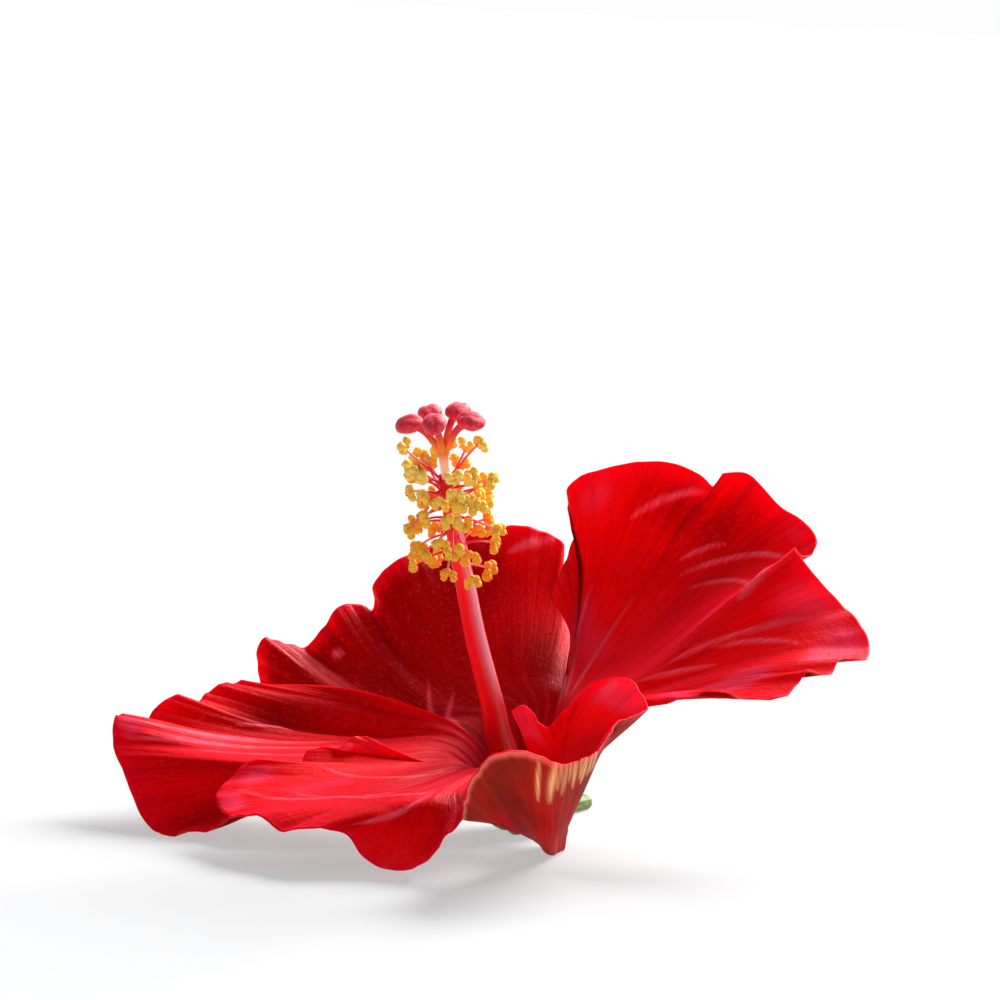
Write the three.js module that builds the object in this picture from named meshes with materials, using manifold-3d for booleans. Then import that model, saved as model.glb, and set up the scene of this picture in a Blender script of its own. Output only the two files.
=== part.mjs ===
// A picked hibiscus flower of five red petals, lying face up on its petals and its stalk.
// Millimetres, +Z up, the floor at z = 0. The origin is on the floor, under the middle of
// the bloom's box; the pieces are drawn round a point on the floor under the throat.
import * as THREE from "three";
import Module from "manifold-3d";
import { mergeVertices } from "three/addons/utils/BufferGeometryUtils.js";

const wasm = await Module();
wasm.setup();
const { sin, cos, PI, floor, min, max, exp } = Math;
const rad = (deg) => (deg * PI) / 180;
const V = (x, y, z) => new THREE.Vector3(x, y, z);

// ---- driving dimensions -------------------------------------------------------------

const BLOOM_WIDTH = 130;          // from the left petal's margin to the right petal's
const THROAT_HEIGHT = 15.1;       // where the column comes out between the petals
const THROAT_AT = V(0.12, 7.49, 0);   // what lies under the throat, from the middle of the box

// The front elevation: a sheet of 1000 x 1000 units, seen from a little above, with the
// petal margins and the column drawn on it as [across, down, depth]. The depth is in mm,
// more further back, from the throat.
const SHEET = { bloomDrawn: 754, middle: 500, eyeAway: 700, looksDown: 7, roll: 3, throatAt: [488, 748] };

// The flower's own axis: where the petals' claws stand, and which way they grow.
const FOOT = V(6.5, 4, 4.9);
const AXIS = V(-0.3, -0.25, 0.92).normalize();
const CLAW_RING = { radius: 3.15, halfSpread: 30, below: 1.9 };

// Petals: a claw of one thickness that grows into the blade, whose margin's small waves
// fade out inwards; where along a vein the rows are; and how a drawn vein is divided.
const BLADE_THICK = 0.72;
const CLAW_THICK = 0.6;
const CLAW_SHARE = 0.25;
const WAVED_FROM = 0.36;
const WAVED_POWER = 2.5;
const PETAL_ROWS = [0, 0.08, 0.17, 0.27, 0.38, 0.5, 0.62, 0.75, 0.88, 1];
const RUN_PARTS = [0.34, 0.67, 1];
const CLOSER = 0.7;               // under 1, close margin points get more of the width
const RIB_SCALE = 6.75;           // makes a rib its full height at two thirds of the way

// One petal: the bearing of its claw round the axis; its throat (the bearings, radii and
// height of the ring it passes through, right side first); the share of a vein's length
// that lies below the throat; ribs [count, height]; how many columns there are between two
// margin points; the margin, from its right end to its left; and the runs of some veins,
// each with the margin point it ends at and the two points it passes on its way.
const PETALS = {
  petal_right: {
    foot: 28,
    throat: { from: -12, to: 34, radiusFrom: 10.3, radiusTo: 11.5, height: 13 },
    share: 0.24,
    ribs: [7, 0.25],
    fine: 2,
    margin: [
      [640, 706, -17], [679, 701, -19], [708, 690, -17], [743, 696, -19], [781, 699, -19],
      [796, 684, -15], [811, 672, -12.5], [828, 674, -12.5], [840, 661, -9], [861, 661, -8],
      [870, 646, -3], [858, 622, 0], [840, 602, 2], [817, 578, 2], [794, 547, 6],
      [808, 558, 12], [817, 540, 15], [805, 523, 18], [779, 505, 21], [758, 482, 24],
      [746, 473, 26], [724, 474, 27], [714, 487, 30], [702, 476, 31], [679, 465, 33],
      [650, 461, 35], [626, 464, 36], [582, 476, 38], [567, 490, 38], [568, 508, 37],
      [576, 525, 36], [570, 546, 34], [562, 572, 31], [551, 596, 28],
    ],
    runs: [
      [0, [600, 702, -9], [620, 698, -14]], [5, [635, 703, -8], [717, 690, -13]],
      [10, [655, 690, -5], [770, 655, -7]], [13, [653, 673, -1], [742, 616, 0.5]],
      [15, [644, 664, 4], [730, 597, 8]], [17, [632, 659, 10], [717, 583, 16]],
      [20, [606, 658, 16], [677, 566, 25]], [25, [582, 655, 19], [613, 560, 31]],
      [28, [572, 657, 18], [583, 576, 30]], [31, [569, 663, 16], [577, 604, 26]],
      [33, [567, 670, 14], [570, 634, 21]],
    ],
  },
  petal_back: {
    foot: 100,
    throat: { from: 40, to: 140, radiusFrom: 13.3, radiusTo: 11.3, height: 11.3 },
    share: 0.26,
    ribs: [6, 0.12],
    fine: 2,
    margin: [
      [574, 622, 32], [560, 606, 33], [550, 596, 33.5], [556, 580, 34.5], [563, 560, 36],
      [563, 546, 37], [556, 537, 37.5], [532, 528, 38], [506, 526, 39], [470, 532, 39],
      [440, 542, 38.5], [412, 554, 37], [388, 566, 35], [374, 586, 34], [372, 610, 33],
      [352, 603, 32], [339, 607, 31], [322, 629, 29], [308, 645, 28], [286, 645, 26],
      [266, 637, 24.5], [259, 645, 24], [257, 664, 23.5], [262, 686, 23], [276, 708, 20.5],
    ],
    runs: [
      [0, [570, 675, 17.5], [576, 645, 26]], [3, [553, 675, 17], [562, 625, 27]],
      [5, [540, 672, 17.5], [552, 610, 29]], [9, [497, 679, 19], [484, 608, 29.5]],
      [13, [457, 702, 17], [413, 653, 26]], [18, [420, 720, 15], [360, 690, 22]],
      [21, [402, 718, 13.5], [325, 690, 19.5]], [24, [399, 733, 11.5], [335, 728, 15]],
    ],
  },
  petal_left: {
    foot: 174,
    throat: { from: 136, to: 212, radiusFrom: 9.3, radiusTo: 11.1, height: 12.2 },
    share: 0.26,
    ribs: [6, 0.25],
    fine: 3,
    margin: [
      [262, 684, 20], [240, 682, 18], [223, 684, 16], [206, 693, 14], [194, 706, 11],
      [180, 695, 10], [156, 707, 8], [143, 723, 5], [126, 714, 3], [116, 716, 0],
      [113, 745, -4], [123, 771, -8], [146, 823, -13], [160, 834, -14.5], [187, 832, -18],
      [213, 828, -19], [240, 812, -20],
    ],
    runs: [
      [0, [403, 703, 11], [340, 688, 15.5]], [4, [375, 738, 8], [287, 730, 10.5]],
      [7, [367, 744, 4.5], [255, 740, 5]], [9, [362, 751, 0], [240, 746, -2]],
      [10, [362, 758, -6], [245, 757, -10]], [12, [375, 772, -9], [268, 790, -13]],
      [16, [384, 775, -9], [315, 792, -15]],
    ],
  },
  petal_front_left: {
    foot: 246,
    throat: { from: 210, to: 282, radiusFrom: 8.7, radiusTo: 10.3, height: 12 },
    share: 0.28,
    ribs: [5, 0.2],
    fine: 2,
    margin: [
      [366, 736, -9], [350, 738, -10], [340, 747, -11], [307, 751, -12.5], [298, 769, -14.8],
      [270, 762, -15.5], [246, 763, -16.5], [233, 775, -18.5], [216, 798, -24], [226, 814, -29],
      [239, 815, -32], [262, 818, -35], [279, 829, -38], [325, 829, -41], [345, 834, -40],
      [365, 859, -37], [398, 871, -34], [415, 868, -36], [445, 839, -43], [459, 822, -41.5],
      [472, 804, -40], [484, 786, -39], [494, 768, -38],
    ],
    runs: [
      [0, [430, 762, -6], [400, 752, -8]], [3, [412, 764, -8], [362, 757, -10]],
      [4, [405, 768, -9.5], [352, 764, -12]], [6, [400, 770, -12.5], [325, 768, -16]],
      [8, [398, 778, -19], [310, 788, -22]], [12, [410, 790, -27], [345, 808, -34]],
      [14, [425, 793, -31], [388, 812, -37]], [16, [437, 795, -33], [412, 826, -37]],
      [18, [455, 790, -31], [452, 812, -38]], [20, [480, 782, -26], [474, 793, -35]],
      [22, [503, 764, -18], [497, 765, -29]],
    ],
  },
  petal_front_right: {
    foot: 318,
    throat: { from: 302, to: 334, radiusFrom: 7.2, radiusTo: 7.2, height: 5.2 },
    share: 0.14,
    ribs: [5, 0.3],
    fine: 2,
    // it hangs out over the gap between two sepals in a pouch, and rises again to its rim:
    // the pouch's cross points [x, y, z], from its left edge round to the back
    pouch: [
      [8, -10.5, 4.4], [10.8, -9.6, 1.4], [12.6, -8, 0.4], [13.8, -6.6, 2.4],
      [12.4, -6, 6], [9.6, -6, 9],
    ],
    pouchShare: 0.3,
    margin: [
      [461, 819, -46], [464, 804, -49], [467, 789, -51], [477, 771, -53], [487, 759, -54],
      [509, 750, -54], [538, 756, -52], [567, 765, -48], [588, 757, -44], [601, 748, -40],
      [610, 732, -36], [616, 724, -33], [632, 716, -30], [647, 710, -27], [641, 693, -24],
      [632, 681, -22], [614, 677, -19], [591, 684, -16], [575, 700, -14], [560, 716, -13],
      [547, 727, -12], [537, 722, -11], [531, 710, -10.5], [522, 705, -10], [511, 712, -10],
    ],
    runs: [
      [0, [518, 829, -23], [489, 822, -34]], [2, [521, 831, -24], [496, 815, -37]],
      [4, [530, 834, -25], [512, 805, -39]], [6, [547, 843, -25], [542, 806, -38]],
      [9, [566, 826, -19], [582, 789, -29]], [11, [562, 818, -16], [578, 778, -24]],
      [13, [561, 808, -14], [585, 766, -20]], [16, [562, 780, -11], [576, 730, -15]],
      [19, [557, 778, -9], [558, 745, -11]], [24, [533, 768, -8], [524, 738, -9]],
    ],
  },
};

// The tube of joined filaments: its run on the front elevation, and its radius along it.
const COLUMN_RUN = [
  [500, 740, -1], [491, 699, -5], [476, 640, -11], [466, 589, -17],
  [456, 538, -22], [449, 500, -26], [446, 478, -28.5],
];
const COLUMN_RADIUS = [2.45, 2.3, 2, 1.8, 1.65, 1.5, 1.35, 1.3];
const COLUMN_SIDES = 10;
const COLUMN_STOPS = 22;

// The stamens: where they leave the tube, how far they reach out, and how the lowest and
// the highest of them lean along it; each is a thin bar with a small grain on its end.
const STAMENS = { count: 58, from: 0.62, to: 0.985, crowd: 0.66 };
const STAMEN_REACH = { shortest: 4.4, longest: 8.2 };
const STAMEN_CLIMB = { low: -0.2, high: 0.75, play: 0.5 };
const GOLDEN_TURN = rad(137.508);
const FILAMENT = { radius: 0.34, sides: 3, root: 0.45 };
const ANTHER = V(1.15, 1.05, 0.95);

// The style stands in the tube's open end and parts into five arms with a pad each.
const STYLE = { radius: 0.75, clearance: 0.3, socket: 5, sides: 8, flare: 1.1 };
const STYLE_FORK = [443, 452, -31];
const PADS = [[409, 424, -34], [430, 413, -29], [458, 411, -30], [471, 421, -36], [434, 424, -39]];
const ARM = { radius: 0.5, sides: 5, sunk: 0.7, knee: 1.2 };
const PAD = V(1.75, 1.5, 1.15);

// The calyx: a cup of five sepals round the claws, its floor this far below their foot.
const CUP = { floor: 3, wall: 0.8, bend: -1.2, below: 3.2, inside: 3.95, sides: 45, rows: 3, turned: 4 };
const CUP_RADIUS = { atFoot: 5.1, lean: 0.66, curve: 0.022, leastHeight: -1.1 };
const SEPALS = { count: 5, tip: 8.5, sinus: 1.2, at: 64, shape: 0.85 };
const HANGING = { wide: 34, lowered: 0.92 };

// The cut stalk, which the flower lies on, and the ring of narrow bracts under the cup.
const STALK_RADIUS = 1.35;
const STALK_END = V(18, 27, STALK_RADIUS - 0.1);
const NECK_RADII = [1.25, 1.1, 1.15];
const STALK_SIDES = 10;
const BRACTS = { count: 6, at: 20, apart: 56, long: 9, reach: 7.2, sides: 4 };
const BRACT_STOPS = [0, 0.25, 0.5, 0.75, 1];
const BRACT_RADII = [0.5, 0.5, 0.45, 0.4, 0.3];

const GAP = 0.3;                  // between pieces that stand in one another

// ---- geometry helpers ---------------------------------------------------------------

const looksDown = rad(SHEET.looksDown);
const roll = rad(SHEET.roll);
const perMm = SHEET.bloomDrawn / BLOOM_WIDTH;
const focal = perMm * SHEET.eyeAway;
const right = V(cos(roll), sin(roll) * sin(looksDown), sin(roll) * cos(looksDown));
const up = V(-sin(roll), cos(roll) * sin(looksDown), cos(roll) * cos(looksDown));
const ahead = V(0, cos(looksDown), -sin(looksDown));
const look = (across, down) => ahead.clone()
  .addScaledVector(right, (across - SHEET.middle) / focal)
  .addScaledVector(up, (SHEET.middle - down) / focal);
const eye = V(0, 0, THROAT_HEIGHT).addScaledVector(look(...SHEET.throatAt), -SHEET.eyeAway);

// A point drawn on the front elevation, at its depth.
function seen(across, down, depth) {
  const line = look(across, down);
  return eye.clone().addScaledVector(line, (depth - eye.y) / line.y);
}

// A point round the flower's axis, at a height over the claws' foot.
const side = V(1, 0, 0).addScaledVector(AXIS, -AXIS.x).normalize();
const across = AXIS.clone().cross(side);
const round = (radius, bearing, height) => FOOT.clone()
  .addScaledVector(side, radius * cos(rad(bearing)))
  .addScaledVector(across, radius * sin(rad(bearing)))
  .addScaledVector(AXIS, height);

// A smooth curve through rows of numbers at their stations, read at one place.
function through(points, stations, place) {
  const last = stations.length - 1;
  const slope = (i, c) => {
    const chord = (a, b) => (points[b][c] - points[a][c]) / (stations[b] - stations[a]);
    if (i === 0) return chord(0, 1);
    if (i === last) return chord(last - 1, last);
    const before = stations[i] - stations[i - 1];
    const after = stations[i + 1] - stations[i];
    return (chord(i - 1, i) * after + chord(i, i + 1) * before) / (before + after);
  };
  let i = 0;
  while (i < last - 1 && place >= stations[i + 1]) i++;
  const gap = stations[i + 1] - stations[i];
  const u = (place - stations[i]) / gap;
  return points[i].map((_, c) => (2 * u ** 3 - 3 * u * u + 1) * points[i][c]
    + (u ** 3 - 2 * u * u + u) * gap * slope(i, c)
    + (3 * u * u - 2 * u ** 3) * points[i + 1][c]
    + (u ** 3 - u * u) * gap * slope(i + 1, c));
}

// Stations spread evenly from 0 to 1.
const evenly = (count) => Array.from({ length: count }, (_, i) => i / (count - 1));

// The same draw between 0 and 1 each time for a count and a kind.
function seeded(i, kind) {
  const x = sin(i * 12.9898 + kind * 78.233) * 43758.5453;
  return x - floor(x);
}

function solid(geometry, matrix) {
  const bare = geometry.clone();
  bare.deleteAttribute("normal");
  bare.deleteAttribute("uv");
  if (matrix) bare.applyMatrix4(matrix);
  const merged = mergeVertices(bare, 1e-4);
  return new wasm.Manifold(new wasm.Mesh({
    numProp: 3,
    vertProperties: merged.attributes.position.array,
    triVerts: new Uint32Array(merged.index.array),
  }));
}

function geometryOf(body) {
  const mesh = body.getMesh();
  const geometry = new THREE.BufferGeometry();
  geometry.setAttribute("position", new THREE.BufferAttribute(new Float32Array(mesh.vertProperties), 3));
  geometry.setIndex([...mesh.triVerts]);
  geometry.computeVertexNormals();
  return geometry;
}

function shell(points, faces) {
  const geometry = new THREE.BufferGeometry();
  const numbers = points.flatMap((point) => [point.x, point.y, point.z]);
  geometry.setAttribute("position", new THREE.Float32BufferAttribute(numbers, 3));
  geometry.setIndex(faces.flat());
  return geometry;
}

// The ground under the flower: what would dip below it is cut to a small flat.
const GROUND = { side: 400, deep: 40 };
const ground = solid(
  new THREE.BoxGeometry(GROUND.side, GROUND.side, GROUND.deep),
  new THREE.Matrix4().makeTranslation(0, 0, -GROUND.deep / 2),
);

// The way that a sheet of points faces at one of them.
function facing(sheet, i, j) {
  const row = sheet[i];
  const du = row[min(j + 1, row.length - 1)].clone().sub(row[max(j - 1, 0)]);
  const dv = sheet[min(i + 1, sheet.length - 1)][j].clone().sub(sheet[max(i - 1, 0)][j]);
  return du.cross(dv).normalize();
}

// A blade from its middle surface: both faces are split alike, and the rim closes it.
function blade(sheet, thick) {
  const rows = sheet.length;
  const columns = sheet[0].length;
  const faces = [];
  const top = [];
  const under = [];
  for (let i = 0; i < rows; i++) {
    for (let j = 0; j < columns; j++) {
      const half = facing(sheet, i, j).multiplyScalar(thick(i) / 2);
      top.push(sheet[i][j].clone().add(half));
      under.push(sheet[i][j].clone().sub(half));
    }
  }
  const T = (i, j) => i * columns + j;
  const U = (i, j) => rows * columns + T(i, j);
  for (let i = 0; i < rows - 1; i++) {
    for (let j = 0; j < columns - 1; j++) {
      faces.push([T(i, j), T(i, j + 1), T(i + 1, j + 1)], [T(i, j), T(i + 1, j + 1), T(i + 1, j)]);
      faces.push([U(i, j), U(i + 1, j + 1), U(i, j + 1)], [U(i, j), U(i + 1, j), U(i + 1, j + 1)]);
    }
  }
  const rim = (a, b) => faces.push([T(...a), U(...b), T(...b)], [T(...a), U(...a), U(...b)]);
  for (let j = 0; j < columns - 1; j++) {
    rim([0, j], [0, j + 1]);
    rim([rows - 1, j + 1], [rows - 1, j]);
  }
  for (let i = 0; i < rows - 1; i++) {
    rim([i + 1, 0], [i, 0]);
    rim([i, columns - 1], [i + 1, columns - 1]);
  }
  return shell([...top, ...under], faces);
}

// A round bar along a run of points, with a radius at each, closed at both ends.
function bar(run, radii, sides) {
  const points = [];
  const faces = [];
  let last = V(1, 0, 0);
  run.forEach((point, i) => {
    const way = run[min(i + 1, run.length - 1)].clone().sub(run[max(i - 1, 0)]).normalize();
    const first = last.clone().addScaledVector(way, -last.dot(way)).normalize();
    const second = way.clone().cross(first);
    last = first;
    for (let s = 0; s < sides; s++) {
      const turn = (2 * PI * s) / sides;
      points.push(point.clone()
        .addScaledVector(first, radii[i] * cos(turn))
        .addScaledVector(second, radii[i] * sin(turn)));
    }
  });
  for (let i = 0; i < run.length - 1; i++) {
    for (let s = 0; s < sides; s++) {
      const after = (s + 1) % sides;
      const low = i * sides;
      const high = low + sides;
      faces.push([low + s, low + after, high + after], [low + s, high + after, high + s]);
    }
  }
  const end = (run.length - 1) * sides;
  for (let s = 1; s < sides - 1; s++) faces.push([0, s + 1, s], [end, end + s, end + s + 1]);
  return shell(points, faces);
}

const flower = new THREE.Group();
flower.position.copy(THROAT_AT);

function add(name, body, colour, roughness) {
  const material = new THREE.MeshStandardMaterial({ color: colour, roughness, metalness: 0 });
  const mesh = new THREE.Mesh(geometryOf(body), material);
  mesh.name = name;
  flower.add(mesh);
}

// ---- petals -------------------------------------------------------------------------

// The knots of one vein, at its place u from the petal's right side (0) to its left (1).
function vein(spec, margin, stations, u) {
  const picked = spec.runs.map((run) => run[0]);
  const pickedAt = picked.map((i) => stations[i]);
  const drawn = (k) => through(spec.runs.map((run) => seen(...run[k]).toArray()), pickedAt, u);
  const edge = through(margin, stations, u);
  const calm = through(picked.map((i) => margin[i]), pickedAt, u);
  const { from, to, radiusFrom, radiusTo, height } = spec.throat;
  const bearing = spec.foot + CLAW_RING.halfSpread * (2 * u - 1);
  const foot = round(CLAW_RING.radius, bearing, -CLAW_RING.below).toArray();
  const throat = round(radiusFrom + (radiusTo - radiusFrom) * u, from + (to - from) * u, height).toArray();
  const knots = [foot, throat];
  const at = [0, spec.share];
  let share = spec.share;
  if (spec.pouch) {
    share = spec.pouchShare;
    knots.push(through(spec.pouch, evenly(spec.pouch.length), u));
    at.push(share);
  }
  knots.push(drawn(1), drawn(2), calm);
  at.push(...RUN_PARTS.map((part) => share + (1 - share) * part));
  return { u, knots, at, waves: edge.map((x, c) => x - calm[c]) };
}

function petalSheet(spec) {
  const margin = spec.margin.map((row) => seen(...row).toArray());
  const length = [0];
  for (let i = 1; i < margin.length; i++) {
    const apart = V(...margin[i]).distanceTo(V(...margin[i - 1]));
    length.push(length[i - 1] + apart ** CLOSER);
  }
  const stations = length.map((x) => x / length[length.length - 1]);
  const veins = [];
  for (let i = 0; i < margin.length - 1; i++) {
    for (let f = 0; f < spec.fine; f++) {
      const u = stations[i] + ((stations[i + 1] - stations[i]) * f) / spec.fine;
      veins.push(vein(spec, margin, stations, u));
    }
  }
  veins.push(vein(spec, margin, stations, 1));
  const sheet = PETAL_ROWS.map((t) => veins.map((one) => {
    const waved = (max(0, t - WAVED_FROM) / (1 - WAVED_FROM)) ** WAVED_POWER;
    return V(...through(one.knots, one.at, t)).addScaledVector(V(...one.waves), waved);
  }));
  const [ribs, ribHeight] = spec.ribs;
  return sheet.map((row, i) => row.map((point, j) => {
    const t = PETAL_ROWS[i];
    const rise = RIB_SCALE * t * t * (1 - t) * ribHeight * sin(2 * PI * ribs * veins[j].u);
    return point.clone().addScaledVector(facing(sheet, i, j), rise);
  }));
}

for (const [name, spec] of Object.entries(PETALS)) {
  const thick = (row) => {
    const grown = min(1, PETAL_ROWS[row] / CLAW_SHARE);
    return CLAW_THICK + (BLADE_THICK - CLAW_THICK) * grown;
  };
  add(name, solid(blade(petalSheet(spec), thick)).subtract(ground), "#c80812", 0.6);
}

// ---- staminal column ----------------------------------------------------------------

const columnRun = [round(0, 0, -CUP.floor + CUP.wall + 2 * GAP), ...COLUMN_RUN.map((row) => seen(...row))];
const columnAt = evenly(columnRun.length);
const onColumn = (t) => V(...through(columnRun.map((point) => point.toArray()), columnAt, t));
const columnRadius = (t) => through(COLUMN_RADIUS.map((radius) => [radius]), columnAt, t)[0];
const columnStops = evenly(COLUMN_STOPS);
let column = solid(bar(columnStops.map(onColumn), columnStops.map(columnRadius), COLUMN_SIDES));

const NEAR = 0.01;                // a short way along the column, to find its direction
for (let i = 0; i < STAMENS.count; i++) {
  const k = (i + 0.5) / STAMENS.count;
  const t = STAMENS.from + (STAMENS.to - STAMENS.from) * k ** STAMENS.crowd;
  const here = onColumn(t);
  const way = onColumn(min(1, t + NEAR)).sub(onColumn(t - NEAR)).normalize();
  const first = V(1, 0, 0).addScaledVector(way, -way.x).normalize();
  const second = way.clone().cross(first);
  const turn = i * GOLDEN_TURN + 0.5 * seeded(i, 1);
  const out = first.multiplyScalar(cos(turn)).addScaledVector(second, sin(turn));
  const { shortest, longest } = STAMEN_REACH;
  const reach = shortest + (longest - shortest) * seeded(i, 2);
  const climb = STAMEN_CLIMB.low + (STAMEN_CLIMB.high - STAMEN_CLIMB.low) * k * k
    + STAMEN_CLIMB.play * (seeded(i, 3) - 0.5);
  const tip = here.clone().addScaledVector(out, reach).addScaledVector(way, reach * climb);
  const start = here.clone().addScaledVector(out, columnRadius(t) * FILAMENT.root);
  const thread = bar([start, tip], [FILAMENT.radius, FILAMENT.radius], FILAMENT.sides);
  const turned = new THREE.Quaternion().setFromUnitVectors(V(0, 0, 1), out);
  const spin = new THREE.Quaternion().setFromAxisAngle(out, 2 * PI * seeded(i, 5));
  const size = ANTHER.clone().multiplyScalar(0.9 + 0.25 * seeded(i, 6));
  const placed = new THREE.Matrix4().compose(tip, spin.multiply(turned), size);
  column = column.add(solid(thread)).add(solid(new THREE.IcosahedronGeometry(1, 0), placed));
}

const columnEnd = onColumn(1);
const endWay = onColumn(1).sub(onColumn(1 - 2 * NEAR)).normalize();
const SOCKET_OUT = 12;            // how far the socket's cutter stands out of the tube
const socketRun = [-STYLE.socket, SOCKET_OUT].map((h) => columnEnd.clone().addScaledVector(endWay, h));
const socketRadii = [STYLE.radius + STYLE.clearance, STYLE.radius + STYLE.clearance];
column = column.subtract(solid(bar(socketRun, socketRadii, COLUMN_SIDES)));
add("staminal_column", column, "#dc1e28", 0.5);

// ---- pistil -------------------------------------------------------------------------

const fork = seen(...STYLE_FORK);
const styleRun = [
  columnEnd.clone().addScaledVector(endWay, GAP - STYLE.socket),
  columnEnd.clone(),
  columnEnd.clone().lerp(fork, 0.6),
  fork,
];
const styleRadii = [STYLE.radius, STYLE.radius, STYLE.radius, STYLE.radius * STYLE.flare];
let pistil = solid(bar(styleRun, styleRadii, STYLE.sides));
const padTurn = new THREE.Quaternion().setFromUnitVectors(V(0, 0, 1), endWay);
for (const row of PADS) {
  const pad = seen(...row);
  const start = fork.clone().addScaledVector(endWay, -ARM.sunk);
  const knee = fork.clone().lerp(pad, 0.5).addScaledVector(endWay, ARM.knee);
  const arm = bar([start, knee, pad], [ARM.radius, ARM.radius, ARM.radius], ARM.sides);
  const placed = new THREE.Matrix4().compose(pad, padTurn, PAD);
  pistil = pistil.add(solid(arm)).add(solid(new THREE.IcosahedronGeometry(1, 1), placed));
}
add("pistil", pistil, "#b9283c", 0.7);

// ---- calyx --------------------------------------------------------------------------

// Its wall leans out with the claws inside it; each sepal ends in a point, and the gap under
// the hanging petal is deeper, so that its claw passes out over it.
function cupRadius(height) {
  const lean = CUP_RADIUS.lean * max(height, CUP_RADIUS.leastHeight);
  return CUP_RADIUS.atFoot + lean + CUP_RADIUS.curve * max(height, 0) ** 2;
}

function sepalTop(bearing) {
  const apart = 360 / SEPALS.count;
  const turn = (((bearing - SEPALS.at) % apart) + apart) % apart;
  const off = min(turn, apart - turn) / (apart / 2);
  const near = (((bearing - PETALS.petal_front_right.foot + 540) % 360) - 180) / HANGING.wide;
  const lowered = 1 - HANGING.lowered * exp(-near * near);
  return SEPALS.sinus + (SEPALS.tip - SEPALS.sinus) * (1 - off) ** SEPALS.shape * lowered;
}

const cupPoints = [];
for (let s = 0; s < CUP.sides; s++) {
  const bearing = (360 * s) / CUP.sides + CUP.turned;
  const top = sepalTop(bearing);
  const heights = evenly(CUP.rows + 1).map((share) => CUP.bend + (top - CUP.bend) * share);
  cupPoints.push(round(CUP.inside, bearing, -CUP.floor + CUP.wall));
  for (const height of heights) cupPoints.push(round(cupRadius(height), bearing, height));
  for (const height of heights.reverse()) {
    cupPoints.push(round(cupRadius(height) + CUP.wall, bearing, height));
  }
  cupPoints.push(round(CUP.below, bearing, -CUP.floor));
}
const ring = 2 * CUP.rows + 4;
const inside = cupPoints.push(round(0, 0, -CUP.floor + CUP.wall)) - 1;
const below = cupPoints.push(round(0, 0, -CUP.floor)) - 1;
const cupFaces = [];
for (let s = 0; s < CUP.sides; s++) {
  const a = s * ring;
  const b = ((s + 1) % CUP.sides) * ring;
  for (let i = 0; i < ring - 1; i++) {
    cupFaces.push([a + i, a + i + 1, b + i + 1], [a + i, b + i + 1, b + i]);
  }
  cupFaces.push([inside, a, b], [below, b + ring - 1, a + ring - 1]);
}
add("calyx", solid(shell(cupPoints, cupFaces)).subtract(ground), "#5c8a3a", 0.6);

// ---- cut stalk with its bracts ------------------------------------------------------

const neck = FOOT.clone().addScaledVector(AXIS, -CUP.floor - GAP);
const stalkRun = [
  neck,
  neck.clone().addScaledVector(AXIS, -0.9),
  neck.clone().add(V(1, 1.9, -0.8)),
  V(10.5, 11, STALK_RADIUS),
  V(13.5, 19, STALK_RADIUS),
  STALK_END,
];
const stalkRadii = [...NECK_RADII, STALK_RADIUS, STALK_RADIUS, STALK_RADIUS];
let stalk = solid(bar(stalkRun, stalkRadii, STALK_SIDES));
const BRACT_ROOT = { out: 0.4, below: 1.4, rise: 0.62 };
for (let i = 0; i < BRACTS.count; i++) {
  const line = BRACT_STOPS.map((q) => round(
    BRACT_ROOT.out + BRACTS.reach * q ** 0.8,
    BRACTS.at + i * BRACTS.apart,
    -CUP.floor - GAP - BRACT_ROOT.below + BRACTS.long * BRACT_ROOT.rise * q ** 2.2,
  ));
  stalk = stalk.add(solid(bar(line, BRACT_RADII, BRACTS.sides)));
}
add("pedicel", stalk.subtract(ground), "#6f8f45", 0.6);

export default flower;
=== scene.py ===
from math import cos, pi, radians, sin

import bmesh
import bpy
import numpy as np
from mathutils import Matrix, Vector


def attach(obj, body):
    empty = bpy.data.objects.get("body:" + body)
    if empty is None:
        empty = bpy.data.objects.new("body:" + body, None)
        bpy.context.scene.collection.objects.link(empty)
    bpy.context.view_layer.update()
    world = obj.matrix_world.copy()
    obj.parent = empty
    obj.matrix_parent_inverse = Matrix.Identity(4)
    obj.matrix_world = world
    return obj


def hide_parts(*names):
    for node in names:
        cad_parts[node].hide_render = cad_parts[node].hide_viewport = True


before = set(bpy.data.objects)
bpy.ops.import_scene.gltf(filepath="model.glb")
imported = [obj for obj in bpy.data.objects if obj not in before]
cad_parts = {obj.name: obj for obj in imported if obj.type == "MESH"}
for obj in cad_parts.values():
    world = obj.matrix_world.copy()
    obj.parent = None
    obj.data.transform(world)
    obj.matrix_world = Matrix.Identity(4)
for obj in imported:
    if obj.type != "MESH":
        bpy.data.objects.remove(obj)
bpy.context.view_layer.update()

# ---- The studio ---------------------------------------------------------------------
# A plain pale floor with a glow of its own, one soft key lamp high behind the flower on its
# right, a pale sky that fills the shadows, and a camera that looks down a little from the
# front, tipped by 3 degrees.

MM = 0.001
DRAWN_PER_MM = 5.8                 # how large the flower is drawn on the front elevation
SHEET_SIDE = 1000
SHEET_MIDDLE = SHEET_SIDE / 2
EYE_AWAY = 700                     # from the eye to the throat
THROAT_HEIGHT = 15.1
THROAT_PLACE = np.array([0.12, 7.49, 0])   # what lies under the throat, from the frame's origin
THROAT_DRAWN_AT = (488, 748)
LOOKS_DOWN = radians(7)
ROLL = radians(3)
SENSOR = 36.0
NEAREST, FARTHEST = 0.02, 200      # what the camera sees, in metres

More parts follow.
